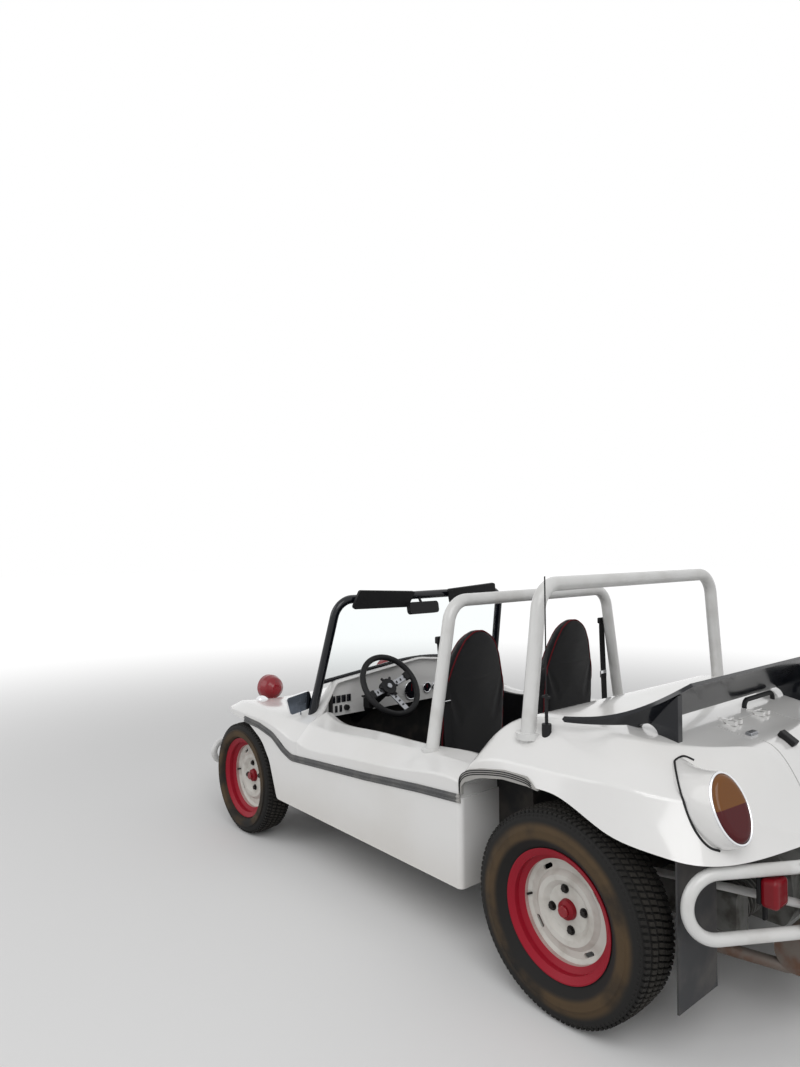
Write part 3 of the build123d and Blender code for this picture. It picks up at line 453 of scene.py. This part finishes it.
def copiesRound(mesh, count, radius, phase, material):
    return runTree(mesh, ringTree, {"Count": count, "Radius": radius, "Phase": phase, "Material": material})


def joined(name, meshes):
    work = bmesh.new()
    materials = []
    for mesh in meshes:
        start = len(work.faces)
        work.from_mesh(mesh)
        work.faces.ensure_lookup_table()
        used = list(mesh.materials) or [None]
        for face in work.faces[start:]:
            material = used[min(face.material_index, len(used) - 1)]
            if material not in materials:
                materials.append(material)
            face.material_index = materials.index(material)
    result = bpy.data.meshes.new(name)
    work.to_mesh(result)
    work.free()
    for material in materials:
        result.materials.append(material)
    return result


def withMaterial(mesh, material):
    mesh.materials.append(material)
    return mesh


def roundedBlock(size, bevel, place=(0, 0, 0), turn=None, segments=3):
    work = bmesh.new()
    bmesh.ops.create_cube(work, size=1)
    bmesh.ops.scale(work, vec=size, verts=work.verts)
    bmesh.ops.bevel(work, geom=work.edges[:], offset=bevel, segments=segments, profile=0.5, affect="EDGES")
    work.transform(Matrix.Translation(place) @ (turn or Matrix.Identity(4)))
    return meshFrom(work, "block", False)


def disc(radius, depth, place, way, segments=32, bevel=0.0):
    work = bmesh.new()
    bmesh.ops.create_cone(work, cap_ends=True, segments=segments, radius1=radius, radius2=radius, depth=depth)
    if bevel:
        rims = [edge for edge in work.edges if len(edge.link_faces) == 2 and edge.calc_face_angle() > 1.2]
        bmesh.ops.bevel(work, geom=rims, offset=bevel, segments=3, profile=0.5, affect="EDGES")
    turn = Vector(way).to_track_quat("Z", "Y").to_matrix().to_4x4()
    work.transform(Matrix.Translation(place) @ turn)
    return meshFrom(work, "disc", False)


print("shape makers ready")

# Tyres: a spun carcass with sidewall ribs and rows of skewed tread blocks.
tread = {
    "depth": 0.008,
    "rows": [
        (-0.35, 0.15, 0.66, 0.0),
        (-0.18, 0.14, 0.72, 0.5),
        (0, 0.14, 0.72, 0.2),
        (0.18, 0.14, 0.72, 0.7),
        (0.35, 0.15, 0.66, 0.35),
    ],
    "pitch": 0.020,
    "skew": 0.004,
    "lugSize": (0.010, 0.006, 0.008),
    "lugDrop": 0.017,
    "lugInset": 0.0145,
}
rimRadius, beadRadius = 0.1905, 0.1916


def treadBlock(length, width, height, skew):
    work = bmesh.new()
    corners = []
    for high, narrow in ((-height, 1.0), (0.0, 0.86)):
        for a, b in ((-1, -1), (1, -1), (1, 1), (-1, 1)):
            along = b * width / 2 * narrow
            turnwise = a * length / 2 * narrow + skew * b
            corners.append(work.verts.new((high, turnwise, along)))
    low, top = corners[:4], corners[4:]
    work.faces.new(low[::-1])
    work.faces.new(top)
    for index in range(4):
        after = (index + 1) % 4
        work.faces.new((low[index], low[after], top[after], top[index]))
    return meshFrom(work, "treadBlock", False)


toAxle = Matrix.Rotation(math.radians(-90), 4, "X")
for corner, x, side, radius, width, rimWidth in wheelTable:
    half = width / 2
    floorRadius = radius - tread["depth"]
    bead = rimWidth / 2 - 0.009
    bulge = rimRadius + (radius - rimRadius) * 0.45
    outer = [
        (bead, beadRadius),
        (bead + 0.001, 0.205),
        (bead + 0.006, 0.212),
        (half - 0.008, bulge - 0.020),
        (half - 0.0022, bulge - 0.014),
        (half - 0.0005, bulge),
        (half - 0.0022, bulge + 0.012),
        (half - 0.0018, bulge + 0.013),
        (half - 0.0018, bulge + 0.017),
        (half - 0.0045, bulge + 0.018),
        (half - 0.0062, radius - 0.045),
        (half - 0.009, radius - 0.032),
        (half - 0.0095, radius - 0.028),
        (half * 0.85, floorRadius - 0.008),
        (half * 0.62, floorRadius - 0.002),
        (half * 0.3, floorRadius),
    ]
    section = outer + [(-along, away) for along, away in reversed(outer)]
    section += [(-bead + 0.02, beadRadius), (-bead + 0.03, 0.214)]
    section += [(bead - 0.03, 0.214), (bead - 0.02, beadRadius)]
    middle = side * (rimLipY - rimWidth / 2)
    carcass = meshFrom(spunRings(section, 128, (x, middle, radius)), "carcass")
    meshes = [withMaterial(carcass, tyreRubbers[corner])]
    count = round(2 * math.pi * radius / tread["pitch"])
    pitch = 2 * math.pi * radius / count
    for place, share, fill, phase in tread["rows"]:
        away = radius - 0.006 * (abs(place) / 0.4) ** 2
        block = treadBlock(pitch * fill, width * share * 0.92, tread["depth"] + 0.004, tread["skew"])
        row = copiesRound(block, count, away, 2 * math.pi * phase / count, tyreRubbers[corner])
        row.transform(Matrix.Translation((x, middle + place * width * 0.93, radius)) @ toAxle)
        meshes.append(row)
    lug = treadBlock(*tread["lugSize"], 0.0)
    for end in (-1, 1):
        lugs = copiesRound(lug, count, radius - tread["lugDrop"], 0.0, tyreRubbers[corner])
        lugs.transform(Matrix.Translation((x, middle + end * (half - tread["lugInset"]), radius)) @ toAxle)
        meshes.append(lugs)
    tyre = joined("tyre", meshes)
    newPiece("tyreTread_" + corner, tyre, "wheel_" + corner, ["tyre_" + corner])
    tyre.validate()
print("tyres made")

# Wheel trim: dark bolts (count, circle and first angle), a raised hub cap boss and a valve.
wheelTrim = {"boltRing": (4, 0.065, math.radians(10)), "discDepth": 0.066}
for corner, x, side, radius, _, _ in wheelTable:
    boltHead = disc(0.0105, 0.012, (0, 0, 0.006), up, 6, 0.0015)
    bolt = joined("bolt", [boltHead, disc(0.015, 0.003, (0, 0, 0.0015), up, 24)])
    bolts = copiesRound(bolt, *wheelTrim["boltRing"], boltBlack)
    boss = withMaterial(disc(0.019, 0.010, (0, 0, 0.027), up, 32, 0.003), redPaint)
    valve = withMaterial(disc(0.004, 0.03, (0.154, 0, 0.004), (0.3, 0, 1), 12), boltBlack)
    trim = joined("wheelTrim", [bolts, boss, valve])
    hub = Matrix.Translation((x, side * (rimLipY - wheelTrim["discDepth"]), radius))
    trim.transform(hub @ Matrix.Rotation(math.radians(-90 * side), 4, "X"))
    newPiece("wheelTrim_" + corner, trim, "wheel_" + corner)
print("wheel trim made")

# Soft goods start a little small, swell as cloth between their held seams and are then smoothed.
swelling = {"pressure": 4, "frames": 16, "heldReach": 0.010}


def nearPaths(paths):
    points = [point for path in paths for point in path]
    tree = KDTree(len(points))
    for index, point in enumerate(points):
        tree.insert(point, index)
    tree.balance()
    return lambda place: tree.find(place)[2] < swelling["heldReach"]


def swollen(mesh, voxel, cap, isHeld):
    piece = bpy.data.objects.new("softWork", mesh)
    bpy.context.scene.collection.objects.link(piece)
    remesh = piece.modifiers.new("remesh", "REMESH")
    remesh.mode = "VOXEL"
    remesh.voxel_size = voxel
    finer = evaluatedMesh(piece)
    piece.modifiers.remove(remesh)
    piece.data = finer
    start = [vertex.co.copy() for vertex in finer.vertices]
    held = piece.vertex_groups.new(name="held")
    held.add([index for index, place in enumerate(start) if isHeld(place)], 1.0, "REPLACE")
    blowUp = piece.modifiers.new("cloth", "CLOTH")
    blowUp.settings.use_pressure = True
    blowUp.settings.uniform_pressure_force = swelling["pressure"]
    blowUp.settings.effector_weights.gravity = 0
    blowUp.settings.vertex_group_mass = "held"
    for frameNumber in range(1, swelling["frames"] + 1):
        bpy.context.scene.frame_set(frameNumber)
    moved = [vertex.co.copy() for vertex in evaluatedMesh(piece).vertices]
    piece.modifiers.remove(blowUp)
    for vertex, first, last in zip(piece.data.vertices, start, moved):
        step = last - first
        vertex.co = first + step * min(1, cap / max(step.length, 1e-6))
    bpy.context.scene.frame_set(1)
    smooth = piece.modifiers.new("smooth", "SUBSURF")
    smooth.levels = smooth.render_levels = 1
    result = evaluatedMesh(piece)
    bpy.data.objects.remove(piece)
    result.polygons.foreach_set("use_smooth", [True] * len(result.polygons))
    result.polygons.foreach_set("material_index", [0] * len(result.polygons))
    result.materials.clear()
    return result


def surfaceOf(mesh):
    places = [vertex.co for vertex in mesh.vertices]
    return BVHTree.FromPolygons(places, [face.vertices for face in mesh.polygons])


def laidOn(mesh, points, lift):
    surface = surfaceOf(mesh)
    laid = []
    for point in points:
        place, normal, _, _ = surface.find_nearest(point)
        laid.append(place + normal * lift)
    return laid


def restOn(mesh, seed):
    place, normal, _, _ = surfaceOf(mesh).find_nearest(seed)
    return place, normal, normal.to_track_quat("Z", "Y").to_matrix().to_4x4()


def thrownOn(mesh, points, way, lift):
    surface = surfaceOf(mesh)
    laid = []
    for point in points:
        place = surface.ray_cast(point + way * 0.2, -way, 0.4)[0]
        if place is not None:
            laid.append(place + way * lift)
    return laid


def between(table, height):
    for low, high in zip(table, table[1:]):
        if height <= high[0]:
            share = (height - low[0]) / (high[0] - low[0])
            return [a + (b - a) * share for a, b in zip(low, high)]
    return list(table[-1])


def smoothPath(points, steps=8):
    ends = [Vector(point) for point in (points[0], *points, points[-1])]
    path = []
    for a, b, c, d in zip(ends, ends[1:], ends[2:], ends[3:]):
        for step in range(steps):
            t = step / steps
            bend = (2 * a - 5 * b + 4 * c - d) * t**2 + (3 * b - a - 3 * c + d) * t**3
            path.append(b + 0.5 * ((c - a) * t + bend))
    path.append(ends[-1])
    return path


def fromAxle(x, y, z):
    return Vector((x + rearAxleX, y, z))


def ribbon(points, wide, thick, across, material):
    corners = [(-1, -0.4), (-0.97, -1), (0.97, -1), (1, -0.4), (1, 0.4), (0.97, 1), (-0.97, 1), (-1, 0.4)]
    rings = []
    for index, point in enumerate(points):
        run = points[min(index + 1, len(points) - 1)] - points[max(index - 1, 0)]
        away = run.cross(across).normalized()
        rings.append([point + across * (a * wide / 2) + away * (b * thick / 2) for a, b in corners])
    return withMaterial(meshFrom(loftRings(rings), "ribbon", False), material)


# Seat backs are height, middle along x, half depth and half width; cushions go forward instead.
seat = {
    "sideY": 0.34,
    "bolsterRise": 0.026,
    "bolsterDip": 0.034,
    "voxel": 0.008,
    "swell": 0.016,
    "pipingRadius": 0.0032,
    "back": [
        (0.345, 0.876, 0.050, 0.186),
        (0.45, 0.870, 0.050, 0.202),
        (0.60, 0.860, 0.050, 0.210),
        (0.75, 0.848, 0.047, 0.210),
        (0.87, 0.836, 0.043, 0.204),
        (0.95, 0.823, 0.039, 0.183),
        (1.04, 0.806, 0.034, 0.149),
        (1.10, 0.796, 0.030, 0.112),
        (1.135, 0.790, 0.024, 0.074),
        (1.155, 0.786, 0.013, 0.036),
    ],
    "cushion": [
        (0.83, 0.372, 0.040, 0.186),
        (0.95, 0.374, 0.046, 0.203),
        (1.18, 0.386, 0.046, 0.203),
        (1.255, 0.384, 0.042, 0.196),
        (1.282, 0.376, 0.024, 0.176),
    ],
}


def seatShell():
    backRings = []
    low, high = seat["back"][0][0], seat["back"][-1][0]
    steps = 28
    for step in range(steps + 1):
        height, middle, deep, wide = between(seat["back"], low + step * (high - low) / steps)
        centre = fromAxle(middle, seat["sideY"], height)
        ring = roundedRing(centre, leftWay, frontWay, wide, deep, 3.6, 44)
        dip = seat["bolsterDip"] * min(1, wide / 0.2)
        for place in ring:
            aside = abs(place.y - centre.y) / wide
            place.x -= dip * max(0, 1 - aside**3) * max(0, (place.x - centre.x) / deep)
        backRings.append(ring)
    cushionRings = []
    for along, middle, tall, wide in seat["cushion"]:
        centre = fromAxle(along, seat["sideY"], middle)
        ring = roundedRing(centre, leftWay, up, wide, tall, 3.4, 44)
        for place in ring:
            aside = abs(place.y - centre.y) / wide
            place.z += seat["bolsterRise"] * aside**4 * max(0, (place.z - centre.z) / tall)
        cushionRings.append(ring)
    shells = [meshFrom(loftRings(rings), "shell") for rings in (backRings, cushionRings)]
    return joined("seatShell", shells)


def backSeam(depthSide, widthShare, low):
    left = []
    for height, middle, deep, wide in seat["back"][:-1]:
        if height >= low:
            left.append(fromAxle(middle + depthSide * deep * 0.9, wide * widthShare, height))
    height, middle, deep, _ = seat["back"][-1]
    right = [Vector((place.x, -place.y, place.z)) for place in reversed(left)]
    path = smoothPath(left + [fromAxle(middle + depthSide * deep, 0, height)] + right)
    return [place + Vector((0, seat["sideY"], 0)) for place in path]


def cushionSeam(widthShare, side):
    points = [
        fromAxle(along, seat["sideY"] + side * wide * widthShare, middle + tall)
        for along, middle, tall, wide in seat["cushion"][1:]
    ]
    return smoothPath(points)


seatPiping = [backSeam(-1, 0.93, 0.345), backSeam(1, 0.95, 0.45), cushionSeam(0.95, -1), cushionSeam(0.95, 1)]
seatChannels = [backSeam(1, 0.56, 0.45), cushionSeam(0.56, -1), cushionSeam(0.56, 1)]
seatMesh = swollen(seatShell(), seat["voxel"], seat["swell"], nearPaths(seatPiping + seatChannels))
seatMesh.materials.append(cloth)
pipes = [pipeAlong(laidOn(seatMesh, path, 0.001), seat["pipingRadius"], pipingRed) for path in seatPiping]
pipingMesh = joined("piping", pipes)
runners = []
for y in (-0.18, 0.18):
    runners.append(roundedBlock((0.36, 0.03, 0.088), 0.003, fromAxle(1.04, seat["sideY"] + y, 0.2595)))
runnerMesh = joined("runners", [withMaterial(runner, underBlack) for runner in runners])
for sideName, side in bothSides:
    move = Matrix.Translation((0, (side - 1) * seat["sideY"], 0))
    for name, mesh, slotName in (
        ("seatCover_", seatMesh, "cloth"),
        ("seatPiping_", pipingMesh, "red_paint"),
        ("seatRunners_", runnerMesh, "black_steel"),
    ):
        copy = mesh.copy()
        copy.transform(move)
        piece = newPiece(name + sideName, copy, "chassis", ["front_seats"])
print("seats made")

# Rear bench: a long cushion and back with sewn cross seams on a plain black base.
bench = {
    "halfWidth": 0.548,
    "voxel": 0.011,
    "swell": 0.014,
    "corner": 4,
    "parts": {
        "benchCushion": ((0.558, 0.382), (0.137, 0.0), (0.0, 0.044)),
        "benchBack": ((0.318, 0.615), (0.030, 0.004), (-0.022, 0.176)),
    },
    "seams": (-0.36, -0.12, 0.12, 0.36),
}
for name, ((middleX, middleZ), wideWay, tallWay) in bench["parts"].items():
    wide, tall = (Vector((way[0], 0, way[1])) for way in (wideWay, tallWay))
    rings = []
    for step in range(25):
        share = step / 12 - 1
        shrink = 1 - 0.25 * max(0, (abs(share) - 0.9) / 0.1) ** 2
        centre = fromAxle(middleX, bench["halfWidth"] * share, middleZ)
        sizes = (wide.length * shrink, tall.length * shrink)
        rings.append(roundedRing(centre, wide.normalized(), tall.normalized(), *sizes, bench["corner"]))
    seams = []
    sizes = (wide.length, tall.length)
    for share in bench["seams"]:
        centre = fromAxle(middleX, share, middleZ)
        seams.append(roundedRing(centre, wide.normalized(), tall.normalized(), *sizes, bench["corner"], 80))
    mesh = swollen(meshFrom(loftRings(rings), name), bench["voxel"], bench["swell"], nearPaths(seams))
    mesh.materials.append(cloth)
    newPiece(name, mesh, "chassis", ["rear_bench"])
benchBase = [
    roundedBlock((0.264, 1.08, 0.112), 0.004, fromAxle(0.557, 0, 0.272)),
    roundedBlock((0.12, 1.10, 0.03), 0.004, fromAxle(0.345, 0, 0.396)),
]
benchMesh = joined("benchBase", [withMaterial(block, underBlack) for block in benchBase])
newPiece("benchBase", benchMesh, "chassis", ["rear_bench"])
print("bench made")

# Belts: webbing from a guide on the hoop's leg to a reel on the floor, with a bright tongue.
belt = {
    "wide": 0.046,
    "thick": 0.0024,
    "places": [
        (0.769, 0.577, 1.13),
        (0.764, 0.572, 1.04),
        (0.748, 0.561, 0.80),
        (0.735, 0.556, 0.5),
        (0.728, 0.554, 0.26),
    ],
    "blocks": [
        ((0.016, 0.058, 0.030), 0.005, (0.769, 0.577, 1.135), mattBlack),
        ((0.020, 0.020, 0.020), 0.004, (0.756, 0.582, 1.135), mattBlack),
        ((0.056, 0.060, 0.052), 0.008, (0.730, 0.552, 0.2425), mattBlack),
        ((0.006, 0.052, 0.036), 0.002, (0.7535, 0.564, 0.86), chrome),
    ],
}
for sideName, side in bothSides:
    path = smoothPath([fromAxle(x, side * y, z) for x, y, z in belt["places"]], 6)
    webs = [ribbon(path, belt["wide"], belt["thick"], leftWay, webbing)]
    for size, bevel, (x, y, z), material in belt["blocks"]:
        webs.append(withMaterial(roundedBlock(size, bevel, fromAxle(x, side * y, z)), material))
    newPiece("seatBelt_" + sideName, joined("belt", webs), "chassis", ["seat_belts"])
print("belts made")

# Steering wheel: bright spoke plates at the angles given, a black star hub with a bright cap, two thumb pads.
steering = {
    "centre": (1.4, 0.34, 0.826),
    "rake": math.radians(36),
    "spokes": (16, 106, 196),
    "padded": (16, 196),
    "spokeMiddle": (0.088, 0, -0.0155),
    "spokeTilt": math.radians(-13),
    "spokeSlope": 0.231,
    "holes": (0.066, 0.092, 0.118),
}
flat, steep = math.cos(steering["rake"]), math.sin(steering["rake"])
wheelAxes = Matrix(((0, -steep, -flat), (1, 0, 0), (0, -flat, steep))).to_4x4()
spokeReach, _, spokeHeight = steering["spokeMiddle"]
steeringParts = []
for angle in steering["spokes"]:
    tilt = Matrix.Translation(steering["spokeMiddle"]) @ Matrix.Rotation(steering["spokeTilt"], 4, "Y")
    spoke = [withMaterial(roundedBlock((0.118, 0.0315, 0.0088), 0.002), spokeMetal)]
    spoke[0].transform(tilt)
    # The drilled holes are flat black discs on the spokes: painted shade standing in for the dark seen
    # through each hole.
    for reach in steering["holes"]:
        rise = (reach - spokeReach) * steering["spokeSlope"] + 0.005
        holeShade = disc(0.0075, 0.0012, (reach, 0, spokeHeight + rise), (0.22, 0, 1), 20)
        spoke.append(withMaterial(holeShade, mattBlack))
    if angle in steering["padded"]:
        spoke.append(withMaterial(roundedBlock((0.040, 0.044, 0.020), 0.005, (0.137, 0, -0.004)), mattBlack))
    for part in spoke:
        part.transform(Matrix.Rotation(math.radians(angle), 4, "Z"))
    steeringParts += spoke
hubParts = [disc(0.043, 0.012, (0, 0, -0.015), up, 40, 0.003)]
for lobe in range(6):
    turn = Matrix.Rotation(math.radians(60 * lobe), 4, "Z")
    hubParts.append(roundedBlock((0.020, 0.013, 0.010), 0.003, turn @ Vector((0.047, 0, -0.015)), turn))
steeringParts += [withMaterial(part, mattBlack) for part in hubParts]
steeringParts.append(withMaterial(disc(0.014, 0.008, (0, 0, -0.007), up, 32, 0.002), spokeMetal))
steeringTrim = joined("steeringTrim", steeringParts)
steeringTrim.transform(Matrix.Translation(fromAxle(*steering["centre"])) @ wheelAxes)
newPiece("steeringTrim", steeringTrim, "steering_wheel")
print("steering trim made")

# Dash: three dials in bright rings, two rows of switches and a knob.
dash = {
    "face": 1.59,
    "switchRows": [
        (0.752, 0.026, 0.036, (0.5635, 0.531, 0.4985, 0.466)),
        (0.703, 0.015, 0.034, (0.545, 0.517)),
    ],
    "knob": (0.484, 0.705),
    "dialHeight": 0.735,
    "dials": [(0.04, 0.050), (-0.075, 0.027), (-0.145, 0.027)],
    "ringRadius": 0.0032,
}
dashParts = []
for z, wide, tall, places in dash["switchRows"]:
    for y in places:
        frameBlock = roundedBlock((0.006, wide, tall), 0.002, fromAxle(dash["face"] - 0.0025, y, z))
        rocker = roundedBlock((0.008, wide * 0.7, tall * 0.75), 0.002, fromAxle(dash["face"] - 0.0045, y, z))
        dashParts += [withMaterial(frameBlock, mattBlack), withMaterial(rocker, dialFace)]
knob = disc(0.014, 0.02, fromAxle(dash["face"] - 0.010, *dash["knob"]), -frontWay, 28, 0.003)
dashParts.append(withMaterial(knob, mattBlack))
for y, radius in dash["dials"]:
    middle = fromAxle(dash["face"], y, dash["dialHeight"])
    face = disc(radius, 0.008, middle - frontWay * 0.004, -frontWay, 48, 0.002)
    rim = roundedRing(middle - frontWay * 0.008, up, leftWay, radius, radius, 2, 48)
    needlePlace = middle - frontWay * 0.0088 + up * radius * 0.3
    needle = roundedBlock((0.001, 0.0025, radius * 0.8), 0.0004, needlePlace)
    dashParts += [withMaterial(face, dialFace), pipeAlong(rim, dash["ringRadius"], chrome, True)]
    dashParts.append(withMaterial(needle, redPaint))
newPiece("dashDetails", joined("dashDetails", dashParts), "chassis")
print("dash made")

# Tail lamps: a bright ring round the lens and a black seal where the pod meets the body.
tailLamp = {
    "ringHalfWide": 0.0625,
    "ringHalfTall": 0.100,
    "ringRadius": 0.0045,
    "sealRadius": 0.0035,
    "sealFacing": Vector((-0.455, 0.833, 0.311)).normalized(),
    "sealPlaces": [
        (-0.323, 0.507, 0.849),
        (-0.297, 0.522, 0.859),
        (-0.289, 0.556, 0.852),
        (-0.296, 0.574, 0.841),
        (-0.351, 0.643, 0.792),
        (-0.40, 0.677, 0.724),
        (-0.43, 0.677, 0.681),
        (-0.455, 0.667, 0.657),
        (-0.474, 0.647, 0.648),
    ],
}
lampAcross = lampUp.cross(lampNormal).normalized()
ringCentre = lampCentre + lampNormal * 0.002 + lampAcross * 0.008 + lampUp * 0.004
rim = roundedRing(ringCentre, lampAcross, lampUp, tailLamp["ringHalfWide"], tailLamp["ringHalfTall"], 2, 64)
sealPath = smoothPath([fromAxle(*place) for place in tailLamp["sealPlaces"]], 5)
for sideName, side in bothSides:
    mirrorSide = Matrix.Diagonal((1, side, 1))
    ring = pipeAlong([mirrorSide @ place for place in rim], tailLamp["ringRadius"], chrome, True)
    sealStart = [mirrorSide @ place for place in sealPath]
    seal = thrownOn(nodes["rear_body"].data, sealStart, mirrorSide @ tailLamp["sealFacing"], 0.001)
    lampRing = joined("lampRing", [ring, pipeAlong(seal, tailLamp["sealRadius"], mattBlack)])
    newPiece("tailLampRing_" + sideName, lampRing, "chassis")

# A square red lamp behind the rear bumper and, on the lid, a latch and a lamp for the plate.
fogLamp = [
    ((0.014, 0.072, 0.078), 0.004, (-0.526, 0.490, 0.514), 3, mattBlack),
    ((0.052, 0.080, 0.086), 0.014, (-0.557, 0.490, 0.514), 5, redLens),
    ((0.010, 0.020, 0.070), 0.003, (-0.524, 0.478, 0.450), 3, mattBlack),
]
fogParts = []
for size, bevel, place, segments, material in fogLamp:
    fogParts.append(withMaterial(roundedBlock(size, bevel, fromAxle(*place), segments=segments), material))
newPiece("rearFogLamp", joined("rearFogLamp", fogParts), "chassis")
lidFittings = [
    (-0.350, 0.155, (0.052, 0.024, 0.012), spokeMetal),
    (-0.480, 0.085, (0.036, 0.060, 0.022), mattBlack),
]
lidParts = []
for x, y, size, material in lidFittings:
    place, normal, turn = restOn(nodes["engine_lid"].data, fromAxle(x, y, 0.95))
    lidParts.append(withMaterial(roundedBlock(size, 0.004, place + normal * size[2] * 0.4, turn), material))
newPiece("lidFittings", joined("lidFittings", lidParts), "engine_lid")

# Grey plates under the windscreen posts, and fine ribs along each rear arch strip.
bodyTrim = {
    "plateAt": (1.598, 0.668, 0.668),
    "plateSize": (0.058, 0.058, 0.005),
    "ribRadius": 0.0018,
    "ribDrops": (-0.006, 0.001, 0.008),
    "ribY": 0.8052,
    "ribPlaces": [
        (0.432, 0.625),
        (0.430, 0.672),
        (0.398, 0.702),
        (0.330, 0.723),
        (0.220, 0.742),
        (0.125, 0.743),
        (0.092, 0.733),
    ],
}
smallParts = []
for _, side in bothSides:
    x, y, z = bodyTrim["plateAt"]
    place, _, turn = restOn(nodes["front_body"].data, fromAxle(x, side * y, z))
    smallParts.append(withMaterial(roundedBlock(bodyTrim["plateSize"], 0.002, place, turn), spokeMetal))
    for drop in bodyTrim["ribDrops"]:
        rib = [fromAxle(x - drop * 0.3, side * bodyTrim["ribY"], z - drop) for x, z in bodyTrim["ribPlaces"]]
        smallParts.append(pipeAlong(smoothPath(rib, 5), bodyTrim["ribRadius"], mattBlack, False, 8))
newPiece("bodyTrim", joined("bodyTrim", smallParts), "chassis")
print("small fittings made")

# Camera: fitted to the four wheel outlines of the photograph.
cameraView = {
    "place": (-2.588, 2.728, 1.537),
    "yaw": -40.01,
    "pitch": 0.91,
    "roll": -0.49,
    "focalPixels": 740,
    "photoHeight": 1067,
}
cameraData = bpy.data.cameras.new("camera")
cameraData.sensor_fit = "VERTICAL"
cameraData.sensor_height = 36
cameraData.lens = cameraView["focalPixels"] / cameraView["photoHeight"] * cameraData.sensor_height
camera = bpy.data.objects.new("camera", cameraData)
bpy.context.scene.collection.objects.link(camera)
yaw, pitch, roll = (math.radians(cameraView[name]) for name in ("yaw", "pitch", "roll"))
forward = Vector((math.cos(pitch) * math.cos(yaw), math.cos(pitch) * math.sin(yaw), math.sin(pitch)))
levelRight = forward.cross(up).normalized()
levelUp = levelRight.cross(forward)
rightWay = math.cos(roll) * levelRight + math.sin(roll) * levelUp
upWay = math.cos(roll) * levelUp - math.sin(roll) * levelRight
facingTurn = Matrix((rightWay, upWay, -forward)).transposed().to_4x4()
camera.matrix_world = Matrix.Translation(cameraView["place"]) @ facingTurn
bpy.context.scene.camera = camera

# A pale floor, white surroundings and two large soft lamps.
studio = {
    "floorReach": 40,
    "floorColour": (0.80, 0.80, 0.80),
    "fadeFrom": 2.6,
    "fadeTo": 9.0,
    "worldStrength": 0.5,
    "lamps": [("keyLight", (-4.5, 3.5, 5.0), 4.5, 170), ("fillLight", (3.0, 5.0, 3.5), 4.0, 60)],
}
reach = studio["floorReach"]
floorMesh = bpy.data.meshes.new("floor")
floorCorners = [(-reach, -reach, 0), (reach, -reach, 0), (reach, reach, 0), (-reach, reach, 0)]
floorMesh.from_pydata(floorCorners, [], [(0, 1, 2, 3)])
floorPaint = makeMaterial("floorPaint", studio["floorColour"], 0.9, 0.0, 0.0, 0.2)
floorTree = floorPaint.node_tree
floorX, floorY, _ = axisParts(floorTree)
farFloor = stepMask(floorTree, distance(floorTree, floorX, floorY), studio["fadeFrom"], studio["fadeTo"])
layColour(floorPaint, (0, 0, 0), farFloor)
glow = mathNode(floorTree, "MULTIPLY", farFloor, surroundingsSeen(floorTree))
shaderOf(floorPaint).inputs["Emission Color"].default_value = (1, 1, 1, 1)
floorTree.links.new(glow, shaderOf(floorPaint).inputs["Emission Strength"])
floorMesh.materials.append(floorPaint)
floor = bpy.data.objects.new("floor", floorMesh)
bpy.context.scene.collection.objects.link(floor)
world = bpy.data.worlds.new("world")
world.use_nodes = True
bpy.context.scene.world = world
background = world.node_tree.nodes["Background"]
seen = surroundingsSeen(world.node_tree)
background.inputs["Color"].default_value = (1, 1, 1, 1)
strength = mathNode(world.node_tree, "MULTIPLY", seen, 1 - studio["worldStrength"])
strength = mathNode(world.node_tree, "ADD", strength, studio["worldStrength"])
world.node_tree.links.new(strength, background.inputs["Strength"])
for name, place, size, power in studio["lamps"]:
    lampData = bpy.data.lights.new(name, "AREA")
    lampData.size = size
    lampData.energy = power
    lamp = bpy.data.objects.new(name, lampData)
    lamp.location = place
    lamp.rotation_euler = (-Vector(place)).to_track_quat("-Z", "Y").to_euler()
    bpy.context.scene.collection.objects.link(lamp)
bpy.context.scene.view_settings.view_transform = "Standard"
print("camera and light set")
